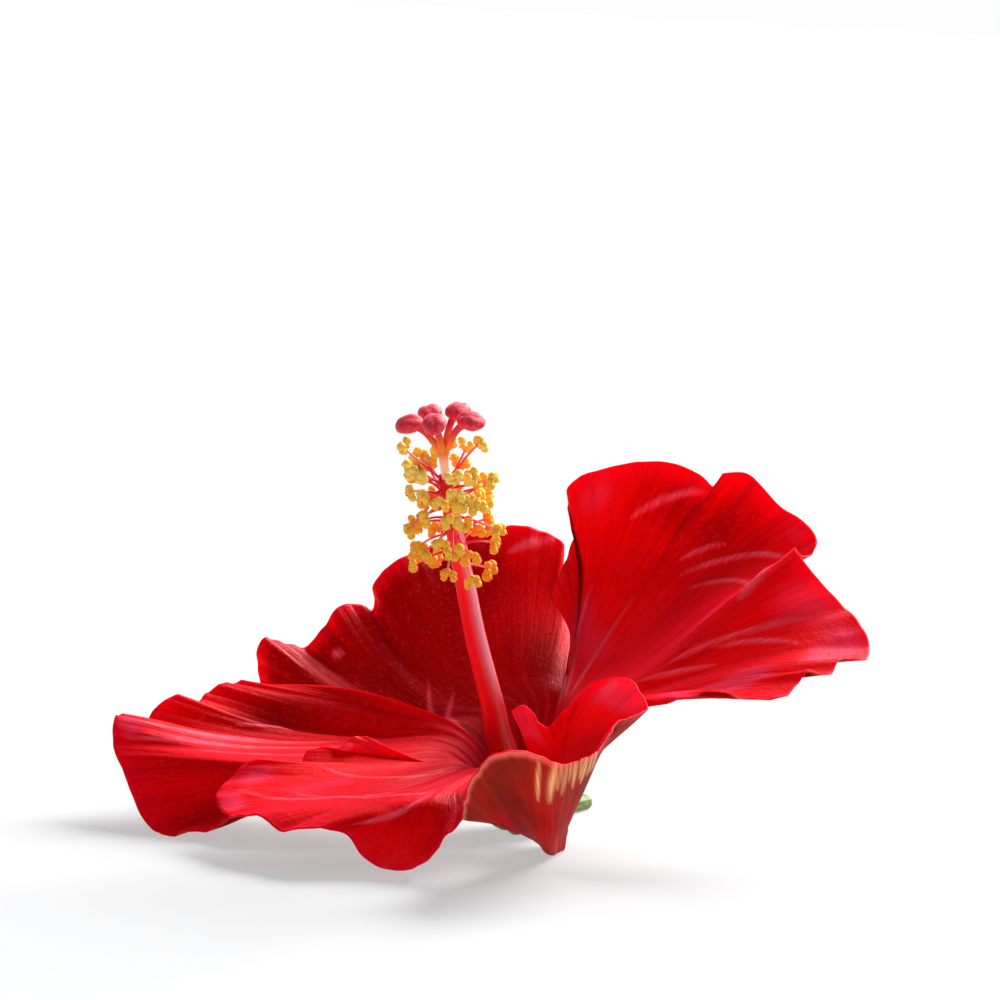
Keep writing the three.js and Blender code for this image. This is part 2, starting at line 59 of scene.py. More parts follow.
drawn_focal = DRAWN_PER_MM * EYE_AWAY
eye_right = np.array([cos(ROLL), sin(ROLL) * sin(LOOKS_DOWN), sin(ROLL) * cos(LOOKS_DOWN)])
eye_up = np.array([-sin(ROLL), cos(ROLL) * sin(LOOKS_DOWN), cos(ROLL) * cos(LOOKS_DOWN)])
eye_ahead = np.array([0, cos(LOOKS_DOWN), -sin(LOOKS_DOWN)])


def sight(across, down):
    """The line from the eye through a point of the front elevation."""
    return (eye_ahead + eye_right * (across - SHEET_MIDDLE) / drawn_focal
            + eye_up * (SHEET_MIDDLE - down) / drawn_focal)


eye = np.array([0, 0, THROAT_HEIGHT]) - sight(*THROAT_DRAWN_AT) * EYE_AWAY


def seen(across, down, depth):
    """A point drawn on the front elevation, at its depth in mm."""
    line = sight(across, down)
    return eye + line * (depth - eye[1]) / line[1]


def set_up(name, data):
    """A new object, put in the scene."""
    made = bpy.data.objects.new(name, data)
    bpy.context.scene.collection.objects.link(made)
    return made


camera = set_up("camera", bpy.data.cameras.new("camera"))
camera.data.sensor_width = SENSOR
camera.data.lens = drawn_focal * SENSOR / SHEET_SIDE
camera.data.clip_start, camera.data.clip_end = NEAREST, FARTHEST
camera.matrix_world = Matrix([
    [eye_right[i], eye_up[i], -eye_ahead[i], (eye + THROAT_PLACE)[i] * MM] for i in range(3)]
    + [[0, 0, 0, 1]])
bpy.context.scene.camera = camera
bpy.context.scene.view_settings.view_transform = "Standard"


def paint(red, green, blue):
    """A colour of 0 to 255 a channel, as the light it gives back."""
    def light(value):
        share = value / 255
        return share / 12.92 if share <= 0.04045 else ((share + 0.055) / 1.055) ** 2.4
    return light(red), light(green), light(blue), 1


def material(name, roughness, gleam=0.5):
    """A new material with its nodes and its surface shader, as rough and gleaming as it says."""
    made = bpy.data.materials.new(name)
    made.use_nodes = True
    shader = made.node_tree.nodes["Principled BSDF"]
    shader.inputs["Roughness"].default_value = roughness
    shader.inputs["Specular IOR Level"].default_value = gleam
    return made, made.node_tree, shader


def node(tree, kind, **settings):
    """A new node of a kind, with its settings."""
    made = tree.nodes.new("ShaderNode" + kind)
    for name, value in settings.items():
        setattr(made, name, value)
    return made


def put(tree, value, socket):
    """Gives a socket its value: a number, a colour, or what another socket says."""
    if isinstance(value, bpy.types.NodeSocket):
        tree.links.new(value, socket)
    else:
        socket.default_value = value


def mesh_object(name, points, faces, made):
    """A smooth mesh from points in mm and faces that all have as many corners."""
    mesh = bpy.data.meshes.new(name)
    points = np.asarray(points, float).reshape(-1, 3)
    faces = np.asarray(faces, int)
    count, corners = faces.shape
    mesh.vertices.add(len(points))
    mesh.vertices.foreach_set("co", ((points + THROAT_PLACE) * MM).ravel())
    mesh.loops.add(count * corners)
    mesh.loops.foreach_set("vertex_index", faces.ravel())
    mesh.polygons.add(count)
    mesh.polygons.foreach_set("loop_start", np.arange(count) * corners)
    mesh.update(calc_edges=True)
    mesh.polygons.foreach_set("use_smooth", np.ones(count, bool))
    mesh.validate()
    mesh.materials.append(made)
    return set_up(name, mesh)


def turns(sides):
    """Even turns round a ring."""
    return np.arange(sides) * 2 * pi / sides


def ring_faces(grid):
    """The faces between rows of closed rings."""
    rows, sides, _ = grid.shape
    n = np.arange(rows * sides).reshape(rows, sides)
    after = np.roll(n, -1, axis=1)
    return np.stack([n[:-1], after[:-1], after[1:], n[1:]], -1).reshape(-1, 4)


FLOOR_GREY, FLOOR_GLOW = paint(140, 140, 140), 0.46
FLOOR_RADII, FLOOR_SIDES = (60000, 500, 0.1), 96
floor_paint, _, shader = material("floor_paint", 0.9, 0.1)
shader.inputs["Base Color"].default_value = FLOOR_GREY
shader.inputs["Emission Color"].default_value = (1, 1, 1, 1)
shader.inputs["Emission Strength"].default_value = FLOOR_GLOW
turn = turns(FLOOR_SIDES)
floor_rings = np.array([np.stack([radius * np.cos(turn), radius * np.sin(turn), 0 * turn], -1)
                        for radius in FLOOR_RADII])
mesh_object("floor", floor_rings, ring_faces(floor_rings), floor_paint)

KEY_FROM = Vector((0.5, 0.6, 0.66))
KEY_STRENGTH, KEY_SOFT = 8.8, radians(36)
key = set_up("key_lamp", bpy.data.lights.new("key_lamp", "SUN"))
key.data.energy, key.data.angle = KEY_STRENGTH, KEY_SOFT
key.rotation_euler = KEY_FROM.to_track_quat("Z", "Y").to_euler()

SKY_LEVEL, SKY_ABOVE = (0.98, 0.98, 0.98, 1), (0.2, 0.22, 0.26, 1)   # at the horizon, and overhead
SKY_BAND = (0.06, 0.14)            # how high it turns from the one into the other
sky = bpy.data.worlds.new("pale_sky")
sky.use_nodes = True
tree = sky.node_tree
height, fade, colours = node(tree, "SeparateXYZ"), node(tree, "MapRange"), node(tree, "ValToRGB")
fade.inputs["From Min"].default_value, fade.inputs["From Max"].default_value = SKY_BAND
colours.color_ramp.elements[0].color = SKY_LEVEL
colours.color_ramp.elements[1].color = SKY_ABOVE
put(tree, node(tree, "TexCoord").outputs["Generated"], height.inputs[0])
put(tree, height.outputs["Z"], fade.inputs["Value"])
put(tree, fade.outputs["Result"], colours.inputs["Fac"])
put(tree, colours.outputs["Color"], tree.nodes["Background"].inputs["Color"])
bpy.context.scene.world = sky

# ---- Right petal --------------------------------------------------------------------
# The largest petal, a thin red blade that stands up behind the others on the right. It
# grows from a narrow claw on the flower's foot; its forked veins fan out to a frilled margin.

FOOT = np.array([6.5, 4, 4.9])
AXIS = np.array([-0.3, -0.25, 0.92])
AXIS = AXIS / np.linalg.norm(AXIS)
FOOT_RADIUS, FOOT_SPREAD, FOOT_BELOW = 3.15, 30, 1.9
MARGIN_EVENNESS = 0.7              # 1 spaces the margin's points by their distance, 0 evenly
WAVED_FROM, WAVES_GROW = 0.36, 2.5   # where the margin's waves begin, and by what power they grow
RUN_PARTS = (0.34, 0.67, 1)        # where a vein's drawn points are, from throat to margin
FLOOR_CLEAR = 0.01                 # the least height of any point over the floor

axis_side = np.array([1, 0, 0]) - AXIS * AXIS[0]
axis_side = axis_side / np.linalg.norm(axis_side)
axis_across = np.cross(AXIS, axis_side)


def around(radius, bearing, height):
    """Points round the flower's own axis."""
    turn = np.radians(np.asarray(bearing, float))
    spread = np.asarray(radius, float) * np.ones_like(turn)
    return (FOOT + spread[..., None] * np.cos(turn)[..., None] * axis_side
            + spread[..., None] * np.sin(turn)[..., None] * axis_across
            + (np.asarray(height, float) * np.ones_like(turn))[..., None] * AXIS)


def through(points, stations, places):
    """A smooth curve through rows of numbers at their stations, read at some places."""
    points, stations = np.asarray(points, float), np.asarray(stations, float)
    shape = (-1,) + (1,) * (points.ndim - 1)
    gap = np.diff(stations).reshape(shape)
    chord = np.diff(points, axis=0) / gap
    slope = np.concatenate([chord[:1], (chord[:-1] * gap[1:] + chord[1:] * gap[:-1])
                            / (gap[1:] + gap[:-1]), chord[-1:]])
    places = np.atleast_1d(places)
    i = np.clip(np.searchsorted(stations, places, side="right") - 1, 0, len(gap) - 1)
    u = ((places - stations[i]) / gap.ravel()[i]).reshape(shape)
    return ((2 * u ** 3 - 3 * u * u + 1) * points[i] + (u ** 3 - 2 * u * u + u) * gap[i] * slope[i]
            + (3 * u * u - 2 * u ** 3) * points[i + 1] + (u ** 3 - u * u) * gap[i] * slope[i + 1])


def step(low, high, value):
    """A smooth rise from 0 to 1 between two values."""
    x = np.clip((value - low) / (high - low), 0, 1)
    return x * x * (3 - 2 * x)


def unit(vectors):
    """Vectors made 1 long."""
    return vectors / np.maximum(np.linalg.norm(vectors, axis=-1, keepdims=True), 1e-9)


def facing(grid):
    """The way that each point of a sheet faces."""
    return unit(np.cross(np.gradient(grid, axis=1), np.gradient(grid, axis=0)))


def over_floor(points):
    """The same points, with none of them in the floor."""
    points[..., 2] = np.maximum(points[..., 2], FLOOR_CLEAR)
    return points


def petal_sheet(spec):
    """A petal's middle surface, with its place across and along at each point."""
    margin = np.array([seen(*row) for row in spec["margin"]])
    spacing = np.linalg.norm(np.diff(margin, axis=0), axis=1) ** MARGIN_EVENNESS
    length = np.cumsum(np.r_[0, spacing])
    stations = length / length[-1]
    u = np.concatenate([np.linspace(a, b, spec["fine"], endpoint=False)
                        for a, b in zip(stations[:-1], stations[1:])] + [[1.0]])
    picked = [row[0] for row in spec["runs"]]
    edge, calm = through(margin, stations, u), through(margin[picked], stations[picked], u)
    inner, outer = (through([seen(*row[k]) for row in spec["runs"]], stations[picked], u)
                    for k in (1, 2))
    first, last, first_radius, last_radius, height = spec["throat"]
    throat = around(first_radius + (last_radius - first_radius) * u,
                    first + (last - first) * u, height)
    foot = around(FOOT_RADIUS, spec["foot"] + FOOT_SPREAD * (2 * u - 1), -FOOT_BELOW)
    share = spec["share"]
    knots, at = [foot, throat], [0, share]
    if "pouch" in spec:
        share = spec["pouch_share"]
        knots.append(through(spec["pouch"], np.linspace(0, 1, len(spec["pouch"])), u))
        at.append(share)
    at += [share + (1 - share) * part for part in RUN_PARTS]
    v = np.linspace(0, 1, spec["rows"])
    grid = through(np.array(knots + [inner, outer, calm]), at, v)
    waved = (np.maximum(0, v - WAVED_FROM) / (1 - WAVED_FROM)) ** WAVES_GROW
    grid = grid + waved[:, None, None] * (edge - calm)
    across, along = np.meshgrid(u, v)
    count, rise = spec["ribs"]
    swell = 27 / 4 * along ** 2 * (1 - along)      # 1 at two thirds of the way out, 0 at both ends
    ribs = rise * swell * np.sin(2 * pi * count * across)
    return grid + facing(grid) * ribs[..., None], across, along


FORK_AT, FORK_PLAY = 0.4, 0.12     # how far out a vein forks
TWIG_LATER = 0.25                  # how much further out its two branches fork again
FORK_OPENS, TWIG_OPENS = 0.27, 0.13   # how far the branches part, in shares of a vein's room
VEIN_SWAY, VEIN_WANDER = 0.25, 0.02   # how unevenly veins start, and how far they wander
VEIN_HALF, VEIN_THINS = 0.5, 0.2   # half a vein's width in mm, and what that loses on the way out


def vein_map(grid, across, along, spec):
    """How much of a vein there is at each point: they fork twice on their way out."""
    wide = np.linalg.norm(np.gradient(grid, axis=1), axis=2) / np.gradient(across, axis=1)
    found = np.zeros_like(across)
    room = 1 / spec["veins"]
    for i in range(spec["veins"]):
        start = (i + 0.5 + VEIN_SWAY * sin(7.3 * i)) * room
        fork = FORK_AT + FORK_PLAY * sin(4.1 * i)
        for way in (-1, 1):
            for twig in (-1, 1):
                path = start + room * (way * FORK_OPENS * step(fork, 1, along)
                                       + twig * TWIG_OPENS * step(fork + TWIG_LATER, 1.05, along)
                                       + VEIN_WANDER * np.sin(21 * along + 3 * i))
                away = np.abs(across - path) * wide
                found = np.maximum(found, np.exp(-(away / (VEIN_HALF - VEIN_THINS * along)) ** 2))
    return found * step(0.02, 0.15, along)


def streak(line, half_width, across, along, wide, tall):
    """A streak between two places: 1 on its middle, and thin and faint at its ends."""
    x, y = (across - line[0]) * wide, (along - line[1]) * tall
    line_x, line_y = (line[2] - line[0]) * wide, (line[3] - line[1]) * tall
    share = np.clip((x * line_x + y * line_y) / (line_x ** 2 + line_y ** 2), 0, 1)
    taper = np.maximum(0.05, np.sqrt(4 * share * (1 - share)))     # 1 half way, near 0 at the ends
    away = np.hypot(x - share * line_x, y - share * line_y) / taper
    return taper ** 0.8 * np.exp(-(away / half_width) ** 2)


def mark(piece, name, values):
    """Writes a number at each point of a piece, for its material to read."""
    layer = piece.data.attributes.new(name, "FLOAT", "POINT")
    layer.data.foreach_set("value", np.asarray(values, np.float32).ravel())


def blade(name, grid, half_thick, marks, made, under_skin):
    """A closed blade on a middle surface, with marks for its skins at every point."""
    rows, columns, _ = grid.shape
    out = facing(grid) * half_thick[..., None]
    points = over_floor(np.concatenate([(grid - out).reshape(-1, 3), (grid + out).reshape(-1, 3)]))
    n = np.arange(rows * columns).reshape(rows, columns)
    quads = np.stack([n[:-1, :-1], n[1:, :-1], n[1:, 1:], n[:-1, 1:]], -1).reshape(-1, 4)
    total = rows * columns
    loop = np.concatenate([n[0, :-1], n[:-1, -1], n[-1, :0:-1], n[:0:-1, 0]])
    turned = np.roll(loop, -1)
    rim = np.stack([loop, turned, turned + total, loop + total], -1)
    piece = mesh_object(name, points, np.concatenate([quads, quads[:, ::-1] + total, rim]), made)
    piece.data.materials.append(under_skin)
    piece.data.polygons.foreach_set(
        "material_index", np.repeat([0, 1, 0], [len(quads), len(quads), len(rim)]))
    for key, values in marks.items():
        mark(piece, key, [values, values])
    return piece


def read(tree, name):
    """What a mark on the mesh says at each point."""
    return node(tree, "Attribute", attribute_name=name).outputs["Fac"]


def times(tree, first, second):
    """Two numbers or sockets, multiplied."""
    made = node(tree, "Math", operation="MULTIPLY")
    put(tree, first, made.inputs[0])
    put(tree, second, made.inputs[1])
    return made.outputs[0]


def between(tree, value, low, high, to_low=0.0, to_high=1.0):
    """A smooth step of a value from one range to another."""
    made = node(tree, "MapRange", interpolation_type="SMOOTHSTEP")
    for name, given in (("Value", value), ("From Min", low), ("From Max", high),
                        ("To Min", to_low), ("To Max", to_high)):
        put(tree, given, made.inputs[name])
    return made.outputs["Result"]


def blend(tree, share, first, second):
    """A mix of two colours, each a socket or a colour."""
    made = node(tree, "Mix", data_type="RGBA")
    ends = [socket for socket in made.inputs if socket.type == "RGBA"]
    for value, socket in zip((share, first, second), [made.inputs[0]] + ends):
        put(tree, value, socket)
    return [socket for socket in made.outputs if socket.type == "RGBA"][0]


def layered(tree, colour, *coats):
    """A colour with others laid over it in turn, each by its share."""
    for share, coat in coats:
        colour = blend(tree, share, colour, coat)
    return colour


def place(tree, across, along):
    """A texture's place on a petal: stretched so many times across and along."""
    made = node(tree, "CombineXYZ")
    put(tree, times(tree, read(tree, "across"), across), made.inputs[0])
    put(tree, times(tree, read(tree, "along"), along), made.inputs[1])
    return made.outputs[0]


def grain(tree, where, detail, scale=1.0):
    """A cloudy noise at a place."""
    made = node(tree, "TexNoise")
    for name, value in (("Vector", where), ("Detail", detail), ("Scale", scale)):
        put(tree, value, made.inputs[name])
    return made.outputs["Fac"]


def cells(tree, detail, scale):
    """A cloudy noise through a whole piece, with so many clouds a metre."""
    return grain(tree, node(tree, "TexCoord").outputs["Object"], detail, scale)


def dents(tree, height, depth, after=None):
    """Small relief: its depth is in mm."""
    made = node(tree, "Bump")
    made.inputs["Distance"].default_value = depth * MM
    put(tree, height, made.inputs["Height"])
    if after is not None:
        put(tree, after, made.inputs["Normal"])
    return made.outputs["Normal"]


def cover(tree, shader, colour, relief=None):
    """Gives a shader its colour and relief."""
    put(tree, colour, shader.inputs["Base Color"])
    if relief is not None:
        put(tree, relief, shader.inputs["Normal"])


def let_in_light(shader, weight, reach, depth):
    """Lets light sink into a surface: how much, how far each colour goes, and over how many mm."""
    shader.inputs["Subsurface Weight"].default_value = weight
    shader.inputs["Subsurface Radius"].default_value = reach
    shader.inputs["Subsurface Scale"].default_value = depth * MM


def velvet(shader, weight, roughness, tint):
    """Gives a surface the soft shine of very short hairs."""
    shader.inputs["Sheen Weight"].default_value = weight
    shader.inputs["Sheen Roughness"].default_value = roughness
    shader.inputs["Sheen Tint"].default_value = tint


RED_DEEP, RED_BRIGHT = paint(220, 0, 1), paint(240, 0, 4)
# Of the first two, the bright red paints light onto a petal and the dark red paints shade; the dark
# red also darkens the petal's fine streaks.
PAINTED_LIGHT_RED, RED_SHADE_AND_STREAK, GLINT_PINK = paint(252, 4, 10), paint(140, 0, 0), paint(255, 40, 74)
# The first and the last of these are painted pink highlights, along folds and on lit lobes; the
# plum is the throat's own colour.
FOLD_HIGHLIGHT_PINK, THROAT_PLUM, PAINTED_HIGHLIGHT_PINK = paint(255, 96, 118), paint(170, 2, 16), paint(255, 56, 92)
PALE_VEIN, EDGE_ROSE = paint(236, 66, 96), paint(240, 4, 44)
GLEAM_PINK, SHEEN_ROSE = paint(255, 90, 130), paint(255, 40, 92)
STREAKS, CLOUDS, CREASES = (150, 4), (7, 3), (60, 26)    # how often, across and along a petal
# The pink specks all over a petal are painted glints, standing in for the sparkle of its cells.
SPECKS = 1400                      # specks a metre


def petal_skin(name):
    """Petal tissue: saturated red, paler along its veins, plum in the throat, with painted light
    and shade, fold highlights and glints.
    """
    made, tree, shader = material(name, 0.5, 0.1)
    streaks = grain(tree, place(tree, *STREAKS), 5)
    clouds = grain(tree, place(tree, *CLOUDS), 2)
    specks = cells(tree, 3, SPECKS)
    vein, fold_highlight, along, painted_light_and_shade = (read(tree, key) for key in ("vein", "fold_highlight", "along", "painted_light_and_shade"))
    colour = layered(
        tree, blend(tree, between(tree, clouds, 0.35, 0.65), RED_DEEP, RED_BRIGHT),
        # Painted light, painted shade and painted pink highlights, from the light and shade mark.
        (between(tree, painted_light_and_shade, 0, 1), PAINTED_LIGHT_RED),
        (between(tree, painted_light_and_shade, 0, -1), RED_SHADE_AND_STREAK),
        (between(tree, painted_light_and_shade, 1, 2), PAINTED_HIGHLIGHT_PINK),
        (between(tree, streaks, 0.35, 0.62, 0.2, 0), RED_SHADE_AND_STREAK),
        # Painted glints: pink specks.
        (between(tree, specks, 0.52, 0.72, 0, 0.3), GLINT_PINK),
        # A painted pink highlight along each fold.
        (times(tree, fold_highlight, between(tree, streaks, 0.35, 0.6, 0.5, 1)), FOLD_HIGHLIGHT_PINK),
        (between(tree, along, 0.93, 1, 0, 0.4), EDGE_ROSE),
        (between(tree, along, 0.34, 0.16, 0, 0.5), THROAT_PLUM),
        (times(tree, vein, between(tree, along, 0.6, 0.3, 0, 0.22)), PALE_VEIN))
    relief = dents(tree, streaks, 0.16)
    relief = dents(tree, grain(tree, place(tree, *CREASES), 3), 0.12, relief)
    cover(tree, shader, colour, dents(tree, specks, 0.09, relief))
    shader.inputs["Specular Tint"].default_value = GLEAM_PINK
    let_in_light(shader, 0.75, (1.0, 0.05, 0.05), 1.2)
    velvet(shader, 0.9, 0.3, SHEEN_ROSE)
    return made


BACK_RED, BACK_DARK, BACK_BROWN = paint(190, 2, 3), paint(134, 2, 1), paint(128, 34, 8)
# The peach is the veins' own colour; the golden colour and the rim colour are painted highlights.
BACK_PEACH, BACK_HIGHLIGHT_GOLD, RIM_HIGHLIGHT = paint(190, 48, 30), paint(255, 190, 126), paint(240, 122, 106)
GLEAM_PEACH = paint(255, 150, 120)
BACK_CLOUDS = (9, 4)


def petal_underside(name, brown_and_highlight):
    """The outer face, duller and veined; its second number makes it browner towards its edge and
    paints golden highlights along its folds.
    """
    made, tree, shader = material(name, 0.55, 0.04)
    streaks = grain(tree, place(tree, *STREAKS), 5)
    clouds = grain(tree, place(tree, *BACK_CLOUDS), 3)
    vein, fold_highlight, along, across = (read(tree, key) for key in ("vein", "fold_highlight", "along", "across"))
    colour = layered(
        tree, blend(tree, between(tree, clouds, 0.35, 0.65), BACK_RED, BACK_DARK),
        (between(tree, along, 0.72, 0.95, 0, 0.45 * brown_and_highlight), BACK_BROWN),
        (times(tree, vein, between(tree, streaks, 0.4, 0.65, 0, 0.2)), BACK_PEACH),
        # Painted golden highlights along the folds.
        (times(tree, fold_highlight, between(tree, streaks, 0.3, 0.55, 0.5 * brown_and_highlight, brown_and_highlight)), BACK_HIGHLIGHT_GOLD),
        # A painted highlight along the rim, strongest on one side.
        (times(tree, between(tree, along, 0.966, 0.998, 0, 0.7),
               between(tree, across, 0.22, 0.34, 1, 0.25)), RIM_HIGHLIGHT))
    cover(tree, shader, colour, dents(tree, clouds, 0.2, dents(tree, streaks, 0.2)))
    shader.inputs["Specular Tint"].default_value = GLEAM_PEACH
    let_in_light(shader, 0.6, (1.0, 0.08, 0.05), 1)
    return made


CLAW_HALF, BLADE_HALF, EDGE_HALF = 0.33, 0.27, 0.12   # half the thickness, from claw to edge
VEIN_SINK = 0.09
FRILL_FROM, FINE_FRILL, FINE_FRILLS = 0.7, 0.5, 2.3   # a smaller frill lies on the larger one


def petal(name, spec):
    """One petal, replacing its solid."""
    grid, across, along = petal_sheet(spec)
    wide = np.linalg.norm(np.gradient(grid, axis=1), axis=2) / np.gradient(across, axis=1)
    tall = np.linalg.norm(np.gradient(grid, axis=0), axis=2) / np.gradient(along, axis=0)
    # Where each fold lies, for the painted highlights along it.
    fold_highlight = np.zeros_like(across)
    for *line, half_width, rise in spec["folds"]:
        hump = streak(line, half_width, across, along, wide, tall)
        grid = grid - facing(grid) * (rise * hump)[..., None]
        fold_highlight = np.maximum(fold_highlight, hump)
    # Painted light and shade: a level for the whole petal, with brighter and darker spots.
    painted_light_and_shade = np.full_like(across, spec["painted_light_and_shade"])
    for at_across, at_along, radius, amount in spec["painted_light_spots"]:
        away = np.hypot((across - at_across) * wide, (along - at_along) * tall)
        painted_light_and_shade += amount * np.exp(-(away / radius) ** 2)
    vein = vein_map(grid, across, along, spec)
    frill = spec["frill"] * step(FRILL_FROM, 1, along) ** 2 * (
        np.sin(2 * pi * (spec["frills"] * across + 0.4 * np.sin(9 * across)))
        + FINE_FRILL * np.sin(2 * pi * FINE_FRILLS * spec["frills"] * across + 1))
    grid = grid + facing(grid) * (VEIN_SINK * spec.get("sunk", 1) * vein + frill)[..., None]
    half = CLAW_HALF + (BLADE_HALF - CLAW_HALF) * step(0.05, 0.3, along)
    half = half + (EDGE_HALF - half) * step(0.93, 1, along)
    piece = blade(name + "_petal", grid, half,
                  {"across": across, "along": along, "vein": vein, "fold_highlight": fold_highlight, "painted_light_and_shade": painted_light_and_shade},
                  petal_skin("petal_skin_" + name),
                  petal_underside("petal_under_" + name, spec.get("brown_and_highlight", 0)))
    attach(piece, "root")
    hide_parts("petal_" + name)


# A petal's "foot" and "throat" are bearings round the flower's axis, the throat also with its
# radii and height, and "share" is how far along the petal the throat is. Its "margin", and the
# "runs" of veins that lead out to it, are points of the front elevation with their depths in mm.
# Each of its "folds" goes from one place (across, along) to another, with half its width and its
# rise in mm, and is painted with a pink highlight along it. Its "tone" is painted light over the
# whole petal, or painted shade below 0. Each of its "glows" is a place, a radius in mm, and how
# much painted light it adds there, or painted shade below 0; where the sum passes 1 it paints a
# pink highlight.
# "fine" is how many columns the mesh has for each point of the margin.
petal("right", {
    "foot": 28, "throat": [-12, 34, 10.3, 11.5, 13], "share": 0.24, "ribs": [7, 0.25],
    "fine": 6, "rows": 200,
    "veins": 11, "frill": 0.3, "frills": 17, "painted_light_and_shade": 0.25,
    "folds": [
        [0.99, 0.24, 0.84, 0.58, 1.2, 0], [0.675, 0.3, 0.671, 0.68, 0.3, 0.12],
        [0.889, 0.45, 0.813, 0.7, 0.3, 0.12], [0.764, 0.85, 0.684, 0.985, 0.6, 0.35],
        [0.633, 0.76, 0.58, 0.85, 0.42, 0.25], [0.608, 0.73, 0.488, 0.94, 0.5, 0.35],
        [0.575, 0.7, 0.457, 0.84, 0.42, 0.3], [0.457, 0.93, 0.425, 0.76, 0.9, 0.4],
        [0.392, 0.54, 0.362, 0.78, 0.42, 0.3], [0.366, 0.7, 0.359, 0.9, 0.45, 0.35],
        [0.369, 0.64, 0.318, 0.83, 0.42, 0.3], [0.381, 0.46, 0.32, 0.64, 0.42, 0.25],
    ],
    "painted_light_spots": [
        [0.82, 0.93, 7, 1.3], [0.88, 0.62, 8, 0.7], [0.38, 0.94, 9, 1.4], [0.6, 0.55, 10, 0.4],
        [0.59, 0.99, 4, 0.3], [0.53, 0.97, 5, 1.2], [0.47, 1, 3, 2], [0.31, 0.95, 3.5, 2],
        [0.2, 0.76, 6, 2.6], [0.06, 0.88, 4, 2], [0.41, 0.6, 6, -0.3], [0.97, 0.7, 8, 1],
        [0.29, 0.88, 3, 2.2], [0.35, 0.75, 7, 0.6], [0.7, 0.5, 9, 0.9], [0.71, 0.91, 9, -0.7],
        [0.6, 0.86, 8, -0.6],
    ],
    "margin": [
        [640, 706, -17], [679, 701, -19], [708, 690, -17], [743, 696, -19], [781, 699, -19],
        [796, 684, -15], [811, 672, -12.5], [828, 674, -12.5], [840, 661, -9], [861, 661, -8],
        [870, 646, -3], [858, 622, 0], [840, 602, 2], [817, 578, 2], [794, 547, 6],
        [808, 558, 12], [817, 540, 15], [805, 523, 18], [779, 505, 21], [758, 482, 24],
        [746, 473, 26], [724, 474, 27], [714, 487, 30], [702, 476, 31], [679, 465, 33],
        [650, 461, 35], [626, 464, 36], [582, 476, 38], [567, 490, 38], [568, 508, 37],
        [576, 525, 36], [570, 546, 34], [562, 572, 31], [551, 596, 28],
    ],
    "runs": [
        [0, [600, 702, -9], [620, 698, -14]], [5, [635, 703, -8], [717, 690, -13]],
        [10, [655, 690, -5], [770, 655, -7]], [13, [653, 673, -1], [742, 616, 0.5]],
        [15, [644, 664, 4], [730, 597, 8]], [17, [632, 659, 10], [717, 583, 16]],
        [20, [606, 658, 16], [677, 566, 25]], [25, [582, 655, 19], [613, 560, 31]],
        [28, [572, 657, 18], [583, 576, 30]], [31, [569, 663, 16], [577, 604, 26]],
        [33, [567, 670, 14], [570, 634, 21]],
    ],
})

# ---- Back petal ---------------------------------------------------------------------
# The petal behind the column, of the same thin tissue, standing up and back in its own
# shade. Its claw grows on the foot between those of the right and the left petal.

petal("back", {
    "foot": 100, "throat": [40, 140, 13.3, 11.3, 11.3], "share": 0.26, "ribs": [6, 0.12],
    "fine": 9, "rows": 130,
    # Painted shade darkens this whole petal.
    "veins": 11, "sunk": 0.4, "frill": 0.3, "frills": 13, "painted_light_and_shade": -0.55,
    "folds": [
        [0.741, 0.92, 0.721, 0.89, 0.8, 0.3], [0.93, 0.24, 0.571, 0.65, 0.42, 0.08],
        [0.9, 0.27, 0.705, 0.64, 0.4, 0.08], [0.95, 0.25, 0.526, 0.56, 0.4, 0.08],
        [0.297, 0.91, 0.2, 0.99, 0.7, 0.2],
    ],
    "painted_light_spots": [[0.24, 0.75, 8, 0.4], [0.25, 0.95, 6, 0.6]],
    "margin": [
        [574, 622, 32], [560, 606, 33], [550, 596, 33.5], [556, 580, 34.5], [563, 560, 36],
        [563, 546, 37], [556, 537, 37.5], [532, 528, 38], [506, 526, 39], [470, 532, 39],
        [440, 542, 38.5], [412, 554, 37], [388, 566, 35], [374, 586, 34], [372, 610, 33],
        [352, 603, 32], [339, 607, 31], [322, 629, 29], [308, 645, 28], [286, 645, 26],
        [266, 637, 24.5], [259, 645, 24], [257, 664, 23.5], [262, 686, 23], [276, 708, 20.5],
    ],
    "runs": [
        [0, [570, 675, 17.5], [576, 645, 26]], [3, [553, 675, 17], [562, 625, 27]],
        [5, [540, 672, 17.5], [552, 610, 29]], [9, [497, 679, 19], [484, 608, 29.5]],
        [13, [457, 702, 17], [413, 653, 26]], [18, [420, 720, 15], [360, 690, 22]],
        [21, [402, 718, 13.5], [325, 690, 19.5]], [24, [399, 733, 11.5], [335, 728, 15]],
    ],
})

# ---- Left petal ---------------------------------------------------------------------
# The same tissue, lying out flat to the left like a step. Its back rises to the margin,
# its middle lies level, and its front bends down to rest on the margin.

